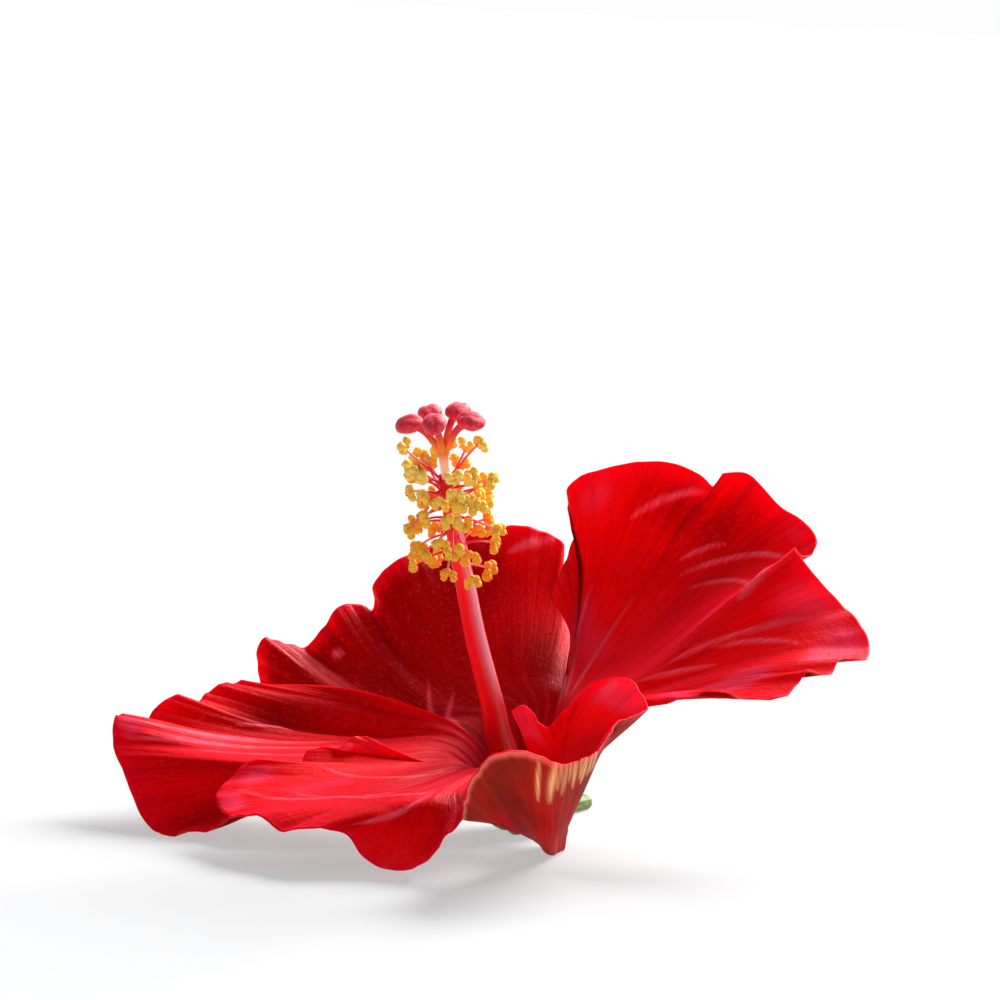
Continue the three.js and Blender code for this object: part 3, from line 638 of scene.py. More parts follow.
petal("left", {
    "foot": 174, "throat": [136, 212, 9.3, 11.1, 12.2], "share": 0.26, "ribs": [6, 0.25],
    "fine": 13, "rows": 120,
    "veins": 10, "frill": 0.25, "frills": 12, "painted_light_and_shade": -0.1,
    "folds": [
        [0.515, 1.04, 0.433, 0.6, 0.9, 0.25], [0.527, 0.96, 0.475, 0.52, 0.4, 0.2],
        [0.552, 0.88, 0.527, 0.5, 0.35, 0.2], [0.503, 0.92, 0.358, 0.56, 0.35, 0.2],
        [0.319, 0.83, 0.258, 0.72, 0.5, 0.25], [0.545, 0.99, 0.5, 0.7, 0.4, 0.15],
        [0.47, 0.9, 0.41, 0.62, 0.3, 0.15],
    ],
    "painted_light_spots": [[0.2, 0.8, 9, -0.6], [0.8, 0.85, 8, -0.2], [0.52, 0.97, 3.5, 2], [0.5, 0.8, 5, 1.4]],
    "margin": [
        [262, 684, 20], [240, 682, 18], [223, 684, 16], [206, 693, 14], [194, 706, 11],
        [180, 695, 10], [156, 707, 8], [143, 723, 5], [126, 714, 3], [116, 716, 0],
        [113, 745, -4], [123, 771, -8], [146, 823, -13], [160, 834, -14.5], [187, 832, -18],
        [213, 828, -19], [240, 812, -20],
    ],
    "runs": [
        [0, [403, 703, 11], [340, 688, 15.5]], [4, [375, 738, 8], [287, 730, 10.5]],
        [7, [367, 744, 4.5], [255, 740, 5]], [9, [362, 751, 0], [240, 746, -2]],
        [10, [362, 758, -6], [245, 757, -10]], [12, [375, 772, -9], [268, 790, -13]],
        [16, [384, 775, -9], [315, 792, -15]],
    ],
})

# ---- Front left petal ---------------------------------------------------------------
# The same tissue, lying forward over its neighbour. Its back edge is turned up in a flap,
# and its tip hangs down to the floor in front.

petal("front_left", {
    "foot": 246, "throat": [210, 282, 8.7, 10.3, 12], "share": 0.28, "ribs": [5, 0.2],
    "fine": 9, "rows": 130,
    "veins": 9, "frill": 0.25, "frills": 11, "painted_light_and_shade": 0,
    "folds": [
        [0.235, 0.78, 0.423, 0.38, 0.38, 0.15], [0.313, 0.96, 0.57, 0.48, 0.4, 0.15],
        [0.331, 0.83, 0.7, 0.46, 0.36, 0.15], [0.6, 0.95, 0.694, 0.5, 0.4, 0.15],
        [0.07, 0.99, 0.05, 0.95, 0.8, 0.1],
    ],
    "painted_light_spots": [
        [0.03, 0.92, 5, 1.4], [0.06, 0.6, 7, 0.9], [0.72, 0.95, 8, 0.8], [0.86, 0.7, 8, -0.8],
        [0.28, 0.94, 5, 1.7], [0.36, 0.97, 3, 2], [0.36, 0.8, 7, 1.2], [0.32, 0.66, 6, 1.1],
    ],
    "margin": [
        [366, 736, -9], [350, 738, -10], [340, 747, -11], [307, 751, -12.5], [298, 769, -14.8],
        [270, 762, -15.5], [246, 763, -16.5], [233, 775, -18.5], [216, 798, -24], [226, 814, -29],
        [239, 815, -32], [262, 818, -35], [279, 829, -38], [325, 829, -41], [345, 834, -40],
        [365, 859, -37], [398, 871, -34], [415, 868, -36], [445, 839, -43], [459, 822, -41.5],
        [472, 804, -40], [484, 786, -39], [494, 768, -38],
    ],
    "runs": [
        [0, [430, 762, -6], [400, 752, -8]], [3, [412, 764, -8], [362, 757, -10]],
        [4, [405, 768, -9.5], [352, 764, -12]], [6, [400, 770, -12.5], [325, 768, -16]],
        [8, [398, 778, -19], [310, 788, -22]], [12, [410, 790, -27], [345, 808, -34]],
        [14, [425, 793, -31], [388, 812, -37]], [16, [437, 795, -33], [412, 826, -37]],
        [18, [455, 790, -31], [452, 812, -38]], [20, [480, 782, -26], [474, 793, -35]],
        [22, [503, 764, -18], [497, 765, -29]],
    ],
})

# ---- Front right petal --------------------------------------------------------------
# The same tissue, hung out between two sepals in a pouch that rests on the floor, and
# rising again to its rim, so that it shows its brownish outer face with raised veins.

petal("front_right", {
    "foot": 318, "throat": [302, 334, 7.2, 7.2, 5.2], "share": 0.14, "ribs": [5, 0.3],
    "fine": 10, "rows": 120,
    # Browner towards its edge, with painted golden highlights along its folds.
    "veins": 12, "frill": 0.15, "frills": 14, "painted_light_and_shade": 0.3, "brown_and_highlight": 1,
    "folds": [
        [0.257, 0.98, 0.246, 0.8, 0.32, 0.1], [0.297, 1.04, 0.276, 0.79, 0.7, 0.1],
        [0.305, 1.04, 0.3, 0.86, 0.3, 0.1], [0.318, 1.04, 0.313, 0.82, 0.36, 0.1],
        [0.329, 1.04, 0.33, 0.88, 0.26, 0.1], [0.339, 1.05, 0.344, 0.84, 0.4, 0.1],
        [0.352, 1.04, 0.36, 0.88, 0.3, 0.1], [0.364, 1.06, 0.371, 0.84, 0.5, 0.1],
        [0.378, 1.06, 0.388, 0.87, 0.5, 0.1], [0.392, 1.06, 0.404, 0.88, 0.6, 0.1],
        [0.721, 0.94, 0.683, 0.97, 1.4, 0],
    ],
    "painted_light_spots": [[0.69, 0.95, 5, 1.8], [0.62, 0.98, 4, 1.4], [0.97, 0.9, 4, 2.4]],
    "pouch": [[8, -10.5, 4.4], [10.8, -9.6, 1.4], [12.6, -8, 0.4], [13.8, -6.6, 2.4],
              [12.4, -6, 6], [9.6, -6, 9]],
    "pouch_share": 0.3,
    "margin": [
        [461, 819, -46], [464, 804, -49], [467, 789, -51], [477, 771, -53], [487, 759, -54],
        [509, 750, -54], [538, 756, -52], [567, 765, -48], [588, 757, -44], [601, 748, -40],
        [610, 732, -36], [616, 724, -33], [632, 716, -30], [647, 710, -27], [641, 693, -24],
        [632, 681, -22], [614, 677, -19], [591, 684, -16], [575, 700, -14], [560, 716, -13],
        [547, 727, -12], [537, 722, -11], [531, 710, -10.5], [522, 705, -10], [511, 712, -10],
    ],
    "runs": [
        [0, [518, 829, -23], [489, 822, -34]], [2, [521, 831, -24], [496, 815, -37]],
        [4, [530, 834, -25], [512, 805, -39]], [6, [547, 843, -25], [542, 806, -38]],
        [9, [566, 826, -19], [582, 789, -29]], [11, [562, 818, -16], [578, 778, -24]],
        [13, [561, 808, -14], [585, 766, -20]], [16, [562, 780, -11], [576, 730, -15]],
        [19, [557, 778, -9], [558, 745, -11]], [24, [533, 768, -8], [524, 738, -9]],
    ],
})

# ---- Calyx --------------------------------------------------------------------------
# The green cup of five sepals grown together, leathery and finely hairy, with a raised rib
# down each sepal. It grows out of the stalk and holds the claws of the petals.

CUP_FLOOR, CUP_WALL, CUP_BEND = 3, 0.8, -1.2
WALL_THINS = 0.45                  # what the wall loses towards its edge
SEPAL_TIP, SINUS, SEPALS_AT, SEPAL_TURN = 8.5, 1.2, 64, 72
HANGING_AT, HANGING_WIDE, HANGING_CUT = 318, 34, 0.92   # where a petal hangs out over the cup
RIB_WIDE, RIB_RISE = 4.5, 0.22
SIDE_RIB_AT, SIDE_RIB_WIDE, SIDE_RIB_RISE = 18, 4, 0.1
CUP_SIDES, CUP_ROWS, CUP_STARTS = 240, 26, 4   # started there, it has a column at each tip


def cup_radius(height):
    """How wide the cup is inside, at a height over the flower's foot."""
    return 5.1 + 0.66 * np.maximum(height, -1.1) + 0.022 * np.maximum(height, 0) ** 2


def cup_wall(share):
    """How thick the cup's wall is, a share of the way up it."""
    return CUP_WALL - WALL_THINS * step(0.5, 1, share)


def sepal_top(bearing):
    """How high the cup's edge stands: tall at a sepal's tip, low at the hanging petal."""
    turn = (bearing - SEPALS_AT) % SEPAL_TURN
    off = np.minimum(turn, SEPAL_TURN - turn) / (SEPAL_TURN / 2)
    near = ((bearing - HANGING_AT + 540) % 360 - 180) / HANGING_WIDE
    stands = 1 - HANGING_CUT * np.exp(-near * near)
    return SINUS + (SEPAL_TIP - SINUS) * (1 - off) ** 0.85 * stands


def seeded(i, k):
    """The same draw between 0 and 1 each time for a count and a kind."""
    x = np.sin(i * 12.9898 + k * 78.233) * 43758.5453
    return x - np.floor(x)


def ring_mesh(name, grid, made, **marks):
    """A mesh on rows of rings, with marks for its skin."""
    piece = mesh_object(name, grid, ring_faces(grid), made)
    for key, values in marks.items():
        mark(piece, key, np.broadcast_to(values, grid.shape[:2]))
    return piece


def hairs(roots, ways, long, wide):
    """Three-sided hairs, each a root and a point: points and triangles."""
    ways = unit(ways)
    side = unit(np.cross(ways, [0.3, 0.5, 0.8]))
    other = np.cross(ways, side)
    corners = [roots + wide * (cos(turn) * side + sin(turn) * other) - 0.3 * wide * ways
               for turn in turns(3)]
    points = np.stack(corners + [roots + ways * np.asarray(long, float)[:, None]], 1)
    first = np.arange(len(roots))[:, None, None] * 4
    faces = first + np.array([[0, 1, 3], [1, 2, 3], [2, 0, 3]])
    return points.reshape(-1, 3), faces.reshape(-1, 3)


bearing = np.arange(CUP_SIDES) * 360 / CUP_SIDES + CUP_STARTS
off_rib = (bearing - SEPALS_AT + SEPAL_TURN / 2) % SEPAL_TURN - SEPAL_TURN / 2
rib = np.exp(-(off_rib / RIB_WIDE) ** 2)
side_rib = np.exp(-((np.abs(off_rib) - SIDE_RIB_AT) / SIDE_RIB_WIDE) ** 2)
top = sepal_top(bearing)
up = np.linspace(0, 1, CUP_ROWS)[:, None]
cup_height = CUP_BEND + (top - CUP_BEND) * up
inside = cup_radius(cup_height)
outside = inside + cup_wall(up) + RIB_RISE * rib * (1 - 0.5 * up) + SIDE_RIB_RISE * side_rib
under = [(0.05, -3.0), (1.2, -3.0), (2.4, -3.02), (3.3, -2.9), (4.3, -2.2)]
edge = [((outside[-1] + inside[-1]) / 2, top + 0.12)]
bottom = [(4.1, -1.75), (3.6, -2.1), (2, -2.2), (0.05, -2.2)]
cup_profile = (under + list(zip(outside, cup_height)) + edge
               + list(zip(inside[::-1], cup_height[::-1])) + bottom)
cup_rings = [around(radius, bearing, height) for radius, height in cup_profile]

SEPAL_GREEN, SEPAL_DARK, SEPAL_RIB = paint(104, 140, 62), paint(66, 104, 40), paint(168, 182, 104)
calyx_skin, tree, shader = material("calyx_skin", 0.6, 0.3)
mottle = cells(tree, 3, 900)
colour = blend(tree, between(tree, mottle, 0.35, 0.65), SEPAL_GREEN, SEPAL_DARK)
colour = blend(tree, times(tree, read(tree, "rib"), 0.75), colour, SEPAL_RIB)
cover(tree, shader, colour, dents(tree, mottle, 0.15))
let_in_light(shader, 0.15, (0.5, 1.0, 0.2), 1)
velvet(shader, 0.15, 0.5, (1, 1, 1, 1))
calyx = ring_mesh("calyx_cup", over_floor(np.array(cup_rings)), calyx_skin,
                  rib=np.maximum(rib, 0.6 * side_rib))
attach(calyx, "root")
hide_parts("calyx")

CUP_HAIRS, HAIR_WIDE = 2600, 0.045
HAIR_LONG, HAIR_VARIES = 0.45, 0.35
HAIR_LEAN, HAIR_TOUSLE = 0.5, 0.4
HAIRS_ABOVE = 0.6                  # none under the cup, where the flower lies
count = np.arange(CUP_HAIRS)
on_bearing, on_share = 360 * seeded(count, 1), seeded(count, 2)
on_height = CUP_BEND + (sepal_top(on_bearing) - CUP_BEND) * on_share
root = around(cup_radius(on_height) + cup_wall(on_share), on_bearing, on_height)
outward = unit(around(np.full(CUP_HAIRS, 50.0), on_bearing, on_height) - root)
tousle = np.stack([seeded(count, k) - 0.5 for k in (3, 4, 5)], 1)
way = outward + AXIS * HAIR_LEAN + HAIR_TOUSLE * tousle
keep = root[:, 2] > HAIRS_ABOVE
hair_paint, tree, shader = material("hair_paint", 0.5)
cover(tree, shader, paint(196, 206, 150))
long = HAIR_LONG + HAIR_VARIES * seeded(count, 6)
points, faces = hairs(root[keep], way[keep], long[keep], HAIR_WIDE)
calyx_hairs = mesh_object("calyx_hairs", over_floor(points), faces, hair_paint)
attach(calyx_hairs, "root")

# ---- Cut stalk and bracts -----------------------------------------------------------
# The slim green stalk that the flower was picked by, cut across at its end, with a ring of
# six narrow bracts under the cup. The flower lies on it.

GAP = 0.3
STALK_RADIUS = 1.35
STALK_STOPS, STALK_SIDES = 120, 48
STALK_GROOVES, GROOVE_DEEP = 9, 0.035


def bar_grid(run, radii, sides):
    """Rings round a run of points, each with its radius and without twisting."""
    run = np.asarray(run, float)
    ways = unit(np.gradient(run, axis=0))
    turn = turns(sides)[:, None]
    last = np.array([1.0, 0, 0])
    rings = []
    for point, way, radius in zip(run, ways, radii):
        first = unit(last - way * last.dot(way))
        second = np.cross(way, first)
        last = first
        radius = np.broadcast_to(radius, sides)[:, None]
        rings.append(point + radius * (np.cos(turn) * first + np.sin(turn) * second))
    return np.array(rings)


def shrunk(ring, middle, sizes, way=0):
    """A ring drawn in towards its middle, in sizes that each stand so far along a way."""
    return [middle + (ring - middle) * size + way * height for size, height in sizes]


neck = FOOT - AXIS * (CUP_FLOOR + GAP)
stalk_run = [neck, neck - AXIS * 0.9, neck + [1, 1.9, -0.8], [10.5, 11, STALK_RADIUS],
             [13.5, 19, STALK_RADIUS], [18, 27, STALK_RADIUS - 0.1]]
stalk_radii = [[1.25], [1.1], [1.15], [1.35], [1.35], [1.35]]
stalk_at = np.linspace(0, 1, len(stalk_run))
along = np.linspace(0, 1, STALK_STOPS)
middle = through(stalk_run, stalk_at, along)
grooves = 1 + GROOVE_DEEP * np.cos(STALK_GROOVES * turns(STALK_SIDES))
tube = bar_grid(middle, through(stalk_radii, stalk_at, along) * grooves, STALK_SIDES)
start = shrunk(tube[0], middle[0], [(0.02, 0), (0.6, 0)])
cut_end = shrunk(tube[-1], middle[-1], [(0.93, 0.08), (0.8, 0.02), (0.55, -0.05), (0.5, -0.22),
                                        (0.25, -0.3), (0.02, -0.28)], unit(middle[-1] - middle[-2]))
stalk_grid = over_floor(np.concatenate([start, tube, cut_end]))
cut = np.concatenate([np.zeros(2 + STALK_STOPS), [0.3, 1, 1, 0.6, 0.8, 0.8]])[:, None]

STALK_GREEN, STALK_OLIVE, CUT_PITH = paint(120, 146, 74), paint(96, 106, 56), paint(214, 218, 170)
stalk_skin, tree, shader = material("stalk_skin", 0.62, 0.3)
mottle = cells(tree, 4, 700)
colour = blend(tree, between(tree, mottle, 0.4, 0.65), STALK_GREEN, STALK_OLIVE)
cover(tree, shader, blend(tree, read(tree, "cut"), colour, CUT_PITH), dents(tree, mottle, 0.12))
stalk = ring_mesh("cut_stalk", stalk_grid, stalk_skin, cut=cut)
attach(stalk, "root")
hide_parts("pedicel")

BRACTS, BRACT_STARTS, BRACT_TURN = 6, 20, 56.0
BRACT_REACH, BRACT_CLIMB, BRACT_BELOW = 7.2, 5.58, 1.4
BRACT_STOPS, BRACT_SIDES = 26, 12
BRACT_THICK, TIP_THINS, KEEL = 0.42, 0.2, 0.4


def joined(parts):
    """Many small meshes as one: all their points, and all their faces."""
    points, faces, count = [], [], 0
    for some_points, some_faces in parts:
        points.append(np.reshape(some_points, (-1, 3)))
        faces.append(some_faces + count)
        count += len(points[-1])
    return np.concatenate(points), np.concatenate(faces)


bract_parts = []
out = np.linspace(0, 1, BRACT_STOPS)
leaf = 0.5 + 0.38 * np.sin(pi * np.minimum(out * 1.1, 1)) ** 0.8
half = (leaf * (1 - step(0.75, 1.05, out)) + 0.04)[:, None]
wide, tall = np.cos(turns(BRACT_SIDES)), np.sin(turns(BRACT_SIDES))
for i in range(BRACTS):
    bearing = np.full(BRACT_STOPS, BRACT_STARTS + BRACT_TURN * i)
    height = BRACT_CLIMB * out ** 2.2 - CUP_FLOOR - GAP - BRACT_BELOW
    line = around(0.4 + BRACT_REACH * out ** 0.8, bearing, height)
    ways = unit(np.gradient(line, axis=0))
    flank = unit(np.cross(ways, AXIS))
    face = np.cross(flank, ways)
    thick = (BRACT_THICK - TIP_THINS * out)[:, None] * tall + half * KEEL * np.abs(wide) ** 1.5
    grid = (line[:, None] + flank[:, None] * (half * wide)[..., None]
            + face[:, None] * thick[..., None])
    bract_parts.append((over_floor(grid), ring_faces(grid)))
bracts = mesh_object("bracts", *joined(bract_parts), stalk_skin)
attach(bracts, "root")

# ---- Staminal column ----------------------------------------------------------------
# The tube in which the filaments are joined: smooth red tissue round the style, growing
# from the bottom of the cup, with shallow grooves along it and a frayed open end.

COLUMN_RUN = [(500, 740, -1), (491, 699, -5), (476, 640, -11), (466, 589, -17),
              (456, 538, -22), (449, 500, -26), (446, 478, -28.5)]
COLUMN_RADIUS = [[2.45], [2.3], [2.0], [1.8], [1.65], [1.5], [1.35], [1.3]]
COLUMN_STOPS, COLUMN_SIDES = 200, 60
STYLE_RADIUS, STYLE_SOCKET, SOCKET_DEPTH = 0.75, 0.3, 5
LIP_WALL, FRAYED = 0.16, 0.25
# The tube's paler side is a painted highlight.
HIGHLIT_SIDE, HIGHLIGHT_SPREAD = radians(36), radians(32)   # where the tube is paler, round it

column_run = [around(0, 0, CUP_WALL + 2 * GAP - CUP_FLOOR)] + [seen(*row) for row in COLUMN_RUN]
column_at = np.linspace(0, 1, len(column_run))
along = np.linspace(0, 1, COLUMN_STOPS)
middle = through(column_run, column_at, along)
turn = turns(COLUMN_SIDES)
grooves = 1 + 0.02 * np.cos(5 * turn) + 0.008 * np.cos(15 * turn + 1)
tube = bar_grid(middle, through(COLUMN_RADIUS, column_at, along) * grooves, COLUMN_SIDES)
top_end = middle[-1]
top_way = unit(top_end - through(column_run, column_at, 0.98)[0])
bore = STYLE_RADIUS + STYLE_SOCKET
ring = unit(tube[-1] - top_end)
frayed = FRAYED * np.maximum(0, np.cos(5 * turn))[:, None]
lip = [top_end + ring * (bore + LIP_WALL) + top_way * (0.2 + frayed),
       top_end + ring * bore + top_way * frayed]
lip += [top_end + ring * bore - top_way * depth for depth in (0.5, 1.5, 3, SOCKET_DEPTH)]
lip += [top_end + ring * 0.02 - top_way * SOCKET_DEPTH]
start = shrunk(tube[0], middle[0], [(0.02, 0), (0.7, 0)])
off_pale = (turn + HIGHLIT_SIDE + pi) % (2 * pi) - pi

# The pink paints fine fibres and a highlight down one side; the root colour is painted shade low in
# the throat.
COLUMN_RED, COLUMN_PINK, COLUMN_ROOT_SHADE = paint(246, 18, 30), paint(255, 172, 190), paint(200, 2, 12)
FIBRES = (46, 5)
column_skin, tree, shader = material("column_skin", 0.38, 0.3)
fibre, so_far = grain(tree, place(tree, *FIBRES), 3), read(tree, "along")
colour = layered(
    # Painted shade on the tube's root, low in the throat.
    tree, blend(tree, between(tree, so_far, 0.14, 0.34), COLUMN_ROOT_SHADE, COLUMN_RED),
    (between(tree, fibre, 0.5, 0.7, 0, 0.1), COLUMN_PINK),
    # A painted highlight down one side of the tube.
    (times(tree, read(tree, "pale"), between(tree, so_far, 0.26, 0.38)), COLUMN_PINK))
cover(tree, shader, colour, dents(tree, fibre, 0.1))
let_in_light(shader, 0.5, (1.0, 0.12, 0.15), 1.5)
column = ring_mesh("staminal_tube", np.concatenate([start, tube, lip]), column_skin,
                   along=np.concatenate([[0, 0], along, np.ones(len(lip))])[:, None],
                   across=turn / (2 * pi), pale=np.exp(-(off_pale / HIGHLIGHT_SPREAD) ** 2))
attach(column, "root")
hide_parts("staminal_column")

# ---- Filaments and anthers ----------------------------------------------------------
# Fifty-eight thread-like filaments leave the upper part of the tube on every side. Each
# carries one anther, burst open and covered with round grains of yellow pollen.

STAMENS, STAMEN_ZONE, STAMENS_CROWD = 58, (0.62, 0.985), 0.66
STAMEN_REACH, STAMEN_CLIMB, CLIMB_PLAY = (4.4, 8.2), (-0.2, 0.75), 0.5
GOLDEN_TURN = radians(137.508)
THREAD_ROOT, THREAD_THINS, THREAD_TAPERS = 0.34, 0.12, 0.04
THREAD_STOPS, THREAD_SIDES = 14, 8
LOBES, LOBE_RADIUS, ANTHER_BEND = 5, 0.64, radians(230)   # an anther is a row of lobes in a bow
LOBE_ACROSS = 0.85                 # 1 lays the row flat across its filament
GRAINS, GRAIN_RADIUS = 5, 0.17     # on each lobe


def round_ball(finer):
    """A ball of radius 1, split finer each time: points and triangles."""
    shape = bmesh.new()
    bmesh.ops.create_icosphere(shape, subdivisions=finer, radius=1)
    points = np.array([v.co for v in shape.verts])
    faces = np.array([[v.index for v in f.verts] for f in shape.faces])
    shape.free()
    return points, faces


def ranged(limits, share):
    """A number a share of the way from one limit to the other."""
    return limits[0] + (limits[1] - limits[0]) * share


lobe_ball, lobe_faces = round_ball(3)
grain_ball, grain_faces = round_ball(2)
threads, lobes, grains = [], [], []
thread_marks, lobe_marks, grain_marks = [], [], []
s = np.linspace(0, 1, THREAD_STOPS)[:, None]
thread_radii = THREAD_ROOT - THREAD_THINS * step(0, 0.25, s) - THREAD_TAPERS * s
for i in range(STAMENS):
    order = (i + 0.5) / STAMENS
    at = ranged(STAMEN_ZONE, order ** STAMENS_CROWD)
    before, here, after = through(column_run, column_at, [at - 0.01, at, min(1, at + 0.01)])
    way = unit(after - before)
    first = unit(np.array([1, 0, 0]) - way * way[0])
    second = np.cross(way, first)
    bearing = i * GOLDEN_TURN + 0.5 * seeded(i, 1)
    out = first * cos(bearing) + second * sin(bearing)
    reach = ranged(STAMEN_REACH, seeded(i, 2))
    climb = ranged(STAMEN_CLIMB, order * order) + CLIMB_PLAY * (seeded(i, 3) - 0.5)
    tip = here + out * reach + way * reach * climb
    root = here + out * through(COLUMN_RADIUS, column_at, at)[0, 0] * 0.7
    bow = way * (0.9 * (seeded(i, 7) - 0.2)) + np.cross(out, way) * (0.8 * (seeded(i, 8) - 0.5))
    grid = bar_grid(root + (tip - root) * s + bow * np.sin(pi * s), thread_radii, THREAD_SIDES)
    threads.append((grid, ring_faces(grid)))
    thread_marks.append(np.repeat(s, THREAD_SIDES))

    spin = 2 * pi * seeded(i, 5)
    long = first * cos(spin) + second * sin(spin)
    long = unit(long - out * long.dot(out) * LOBE_ACROSS)
    flank = unit(np.cross(out, long))
    turn_to = np.array([long, flank, np.cross(long, flank)])
    size = 0.9 + 0.25 * seeded(i, 6)
    ripe = 1 - 0.8 * order + 0.35 * (seeded(i, 9) - 0.5)
    for lobe in range(LOBES):
        bend = ANTHER_BEND * (lobe / (LOBES - 1) - 0.5)
        spot = np.array([sin(bend), cos(bend) - 0.6, 0.25 * (seeded(lobe, i) - 0.5)])
        radius = LOBE_RADIUS * size * (0.85 + 0.4 * seeded(i * LOBES + lobe, 11))
        centre = tip + (spot * size) @ turn_to
        lobes.append((centre + lobe_ball * radius, lobe_faces))
        lobe_marks.append(np.full(len(lobe_ball), ripe + 0.2 * (seeded(lobe, i + 3) - 0.5)))
        for k in range(GRAINS):
            draw = (i * LOBES + lobe) * GRAINS + k
            seat = centre + lobe_ball[int(seeded(draw, 14) * len(lobe_ball))] * radius
            grain_size = GRAIN_RADIUS * (0.7 + 0.5 * seeded(draw, 15))
            grains.append((seat + grain_ball * grain_size, grain_faces))
            grain_marks.append(np.full(len(grain_ball), ripe + 0.3 * (seeded(draw, 16) - 0.5)))

THREAD_RED, THREAD_PEACH = paint(228, 36, 72), paint(250, 150, 130)
thread_skin, tree, shader = material("thread_skin", 0.45)
outer = between(tree, read(tree, "along"), 0.3, 1)
cover(tree, shader, blend(tree, outer, THREAD_RED, THREAD_PEACH))
let_in_light(shader, 0.3, (1.0, 0.3, 0.3), 0.6)
filaments = mesh_object("filaments", *joined(threads), thread_skin)
mark(filaments, "along", np.concatenate(thread_marks))
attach(filaments, "root")

POLLEN_YELLOW, POLLEN_GOLD = paint(255, 214, 104), paint(255, 192, 58)
POLLEN_ORANGE = paint(252, 156, 34)
pollen_skin, tree, shader = material("pollen_skin", 0.7, 0.25)
ripeness, specks = read(tree, "ripe"), cells(tree, 2, 3000)
colour = layered(
    tree, blend(tree, between(tree, ripeness, 0.2, 0.7), POLLEN_YELLOW, POLLEN_GOLD),
    (between(tree, ripeness, 0.75, 1.1), POLLEN_ORANGE),
    (between(tree, specks, 0.45, 0.75, 0, 0.35), POLLEN_ORANGE))
cover(tree, shader, colour, dents(tree, specks, 0.12))
let_in_light(shader, 0.8, (1.0, 0.7, 0.3), 0.4)
anthers = mesh_object("anthers", *joined(lobes), pollen_skin)
mark(anthers, "ripe", np.concatenate(lobe_marks))
pollen = mesh_object("pollen", *joined(grains), pollen_skin)
mark(pollen, "ripe", np.concatenate(grain_marks))
for piece in (anthers, pollen):
    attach(piece, "root")

# ---- Pistil -------------------------------------------------------------------------
# The style comes up through the tube and parts into five arms, cream to red, each with a
# round velvety stigma. It grew from the bottom of the cup and stands free in the tube's end.

STYLE_FORK = (443, 452, -31)
STYLE_STOPS, STYLE_SIDES, STYLE_WIDENS = 30, 24, 0.3
TO_FORK, AT_FORK = 0.45, 0.48      # how far along its colours the style is below and at the fork
ARM_RADIUS, ARM_STOPS = 0.5, 26
PADS = [(409, 424, -34), (430, 413, -29), (458, 411, -30), (471, 421, -36), (434, 424, -39)]
PAD = np.array([2.35, 2.0, 1.25])
PAD_LUMPS, PAD_SEAM = 0.03, 0.12
PAD_HAIRS, FUZZ_LONG, FUZZ_VARIES, FUZZ_WIDE = 420, 0.16, 0.12, 0.05

fork = seen(*STYLE_FORK)
style_foot = top_end - top_way * (SOCKET_DEPTH - GAP)
style_run = [style_foot, top_end, top_end + (fork - top_end) * 0.6, fork]
s = np.linspace(0, 1, STYLE_STOPS)
middle = through(style_run, np.linspace(0, 1, len(style_run)), s)
tube = bar_grid(middle, STYLE_RADIUS * (1 + STYLE_WIDENS * s ** 4), STYLE_SIDES)
start = shrunk(tube[0], middle[0], [(0.02, 0), (0.7, 0)])
end = shrunk(tube[-1], middle[-1], [(0.8, 0.2), (0.4, 0.35), (0.02, 0.4)], top_way)
style_along = np.concatenate([[0, 0], s * TO_FORK, [0.46, 0.47, AT_FORK]])[:, None]

STYLE_CREAM, STYLE_ORANGE, STYLE_RED = paint(252, 226, 200), paint(250, 140, 60), paint(214, 30, 44)
style_skin, tree, shader = material("style_skin", 0.4)
so_far = read(tree, "along")
colour = blend(tree, between(tree, so_far, 0.26, 0.46), STYLE_CREAM, STYLE_ORANGE)
cover(tree, shader, blend(tree, between(tree, so_far, 0.52, 0.76), colour, STYLE_RED))
let_in_light(shader, 0.5, (1.0, 0.4, 0.3), 1)
style = ring_mesh("style", np.concatenate([start, tube, end]), style_skin, along=style_along)
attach(style, "root")
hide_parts("pistil")

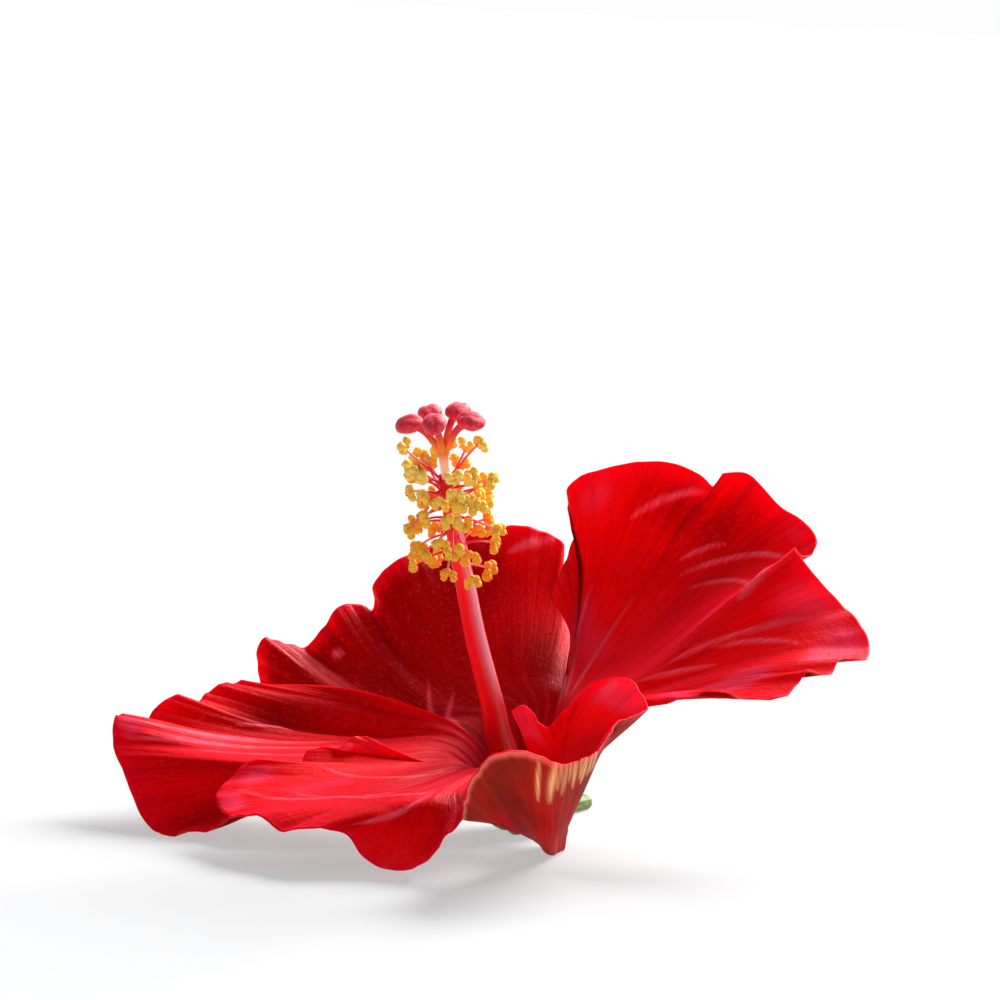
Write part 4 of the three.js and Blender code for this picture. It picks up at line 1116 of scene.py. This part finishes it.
pad_ball, pad_faces = round_ball(4)
seam = np.exp(-(pad_ball[:, 1] / 0.3) ** 2) * step(0, 0.8, pad_ball[:, 2])
arm_parts, pad_parts, fuzz_parts = [], [], []
s = np.linspace(0, 1, ARM_STOPS)
for i, drawn in enumerate(PADS):
    pad = seen(*drawn)
    lean = pad - fork
    knee = fork + lean * 0.5 + top_way * 1.2
    line = through([fork - top_way * 0.7, knee, pad], [0, 0.5, 1], s)
    grid = bar_grid(line, ARM_RADIUS * (1.3 - 0.5 * s + 0.9 * s ** 3), STYLE_SIDES)
    arm_parts.append((grid, ring_faces(grid)))
    face = unit(top_way + 0.35 * unit(lean))
    long = unit(lean - face * lean.dot(face))
    turn_to = np.array([long, np.cross(face, long), face])
    lumpy = PAD_LUMPS * np.sin(6 * pad_ball[:, 0] + i) * np.cos(5 * pad_ball[:, 1])
    shaped = pad + (pad_ball * PAD * (1 + lumpy - PAD_SEAM * seam)[:, None]) @ turn_to
    pad_parts.append((shaped, pad_faces))
    pick = (np.arange(PAD_HAIRS) * 6 + i) % len(pad_ball)
    fuzz_parts.append(hairs(shaped[pick], (pad_ball[pick] / PAD) @ turn_to,
                            FUZZ_LONG + FUZZ_VARIES * seeded(pick, i + 20), FUZZ_WIDE))
arms = mesh_object("style_arms", *joined(arm_parts), style_skin)
mark(arms, "along", np.tile(np.repeat(AT_FORK + (1 - AT_FORK) * s, STYLE_SIDES), len(PADS)))

STIGMA_CRIMSON, STIGMA_PINK = paint(232, 16, 44), paint(252, 120, 140)
STIGMA_SHEEN = paint(255, 150, 170)
stigma_skin, tree, shader = material("stigma_skin", 0.6)
cloud = cells(tree, 3, 1500)
colour = blend(tree, between(tree, cloud, 0.4, 0.7, 0, 0.4), STIGMA_CRIMSON, STIGMA_PINK)
cover(tree, shader, colour, dents(tree, cloud, 0.08))
let_in_light(shader, 0.6, (1.0, 0.15, 0.2), 1.2)
velvet(shader, 0.6, 0.4, STIGMA_SHEEN)
stigmas = mesh_object("stigmas", *joined(pad_parts), stigma_skin)
fuzz = mesh_object("stigma_fuzz", *joined(fuzz_parts), stigma_skin)
for piece in (arms, stigmas, fuzz):
    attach(piece, "root")
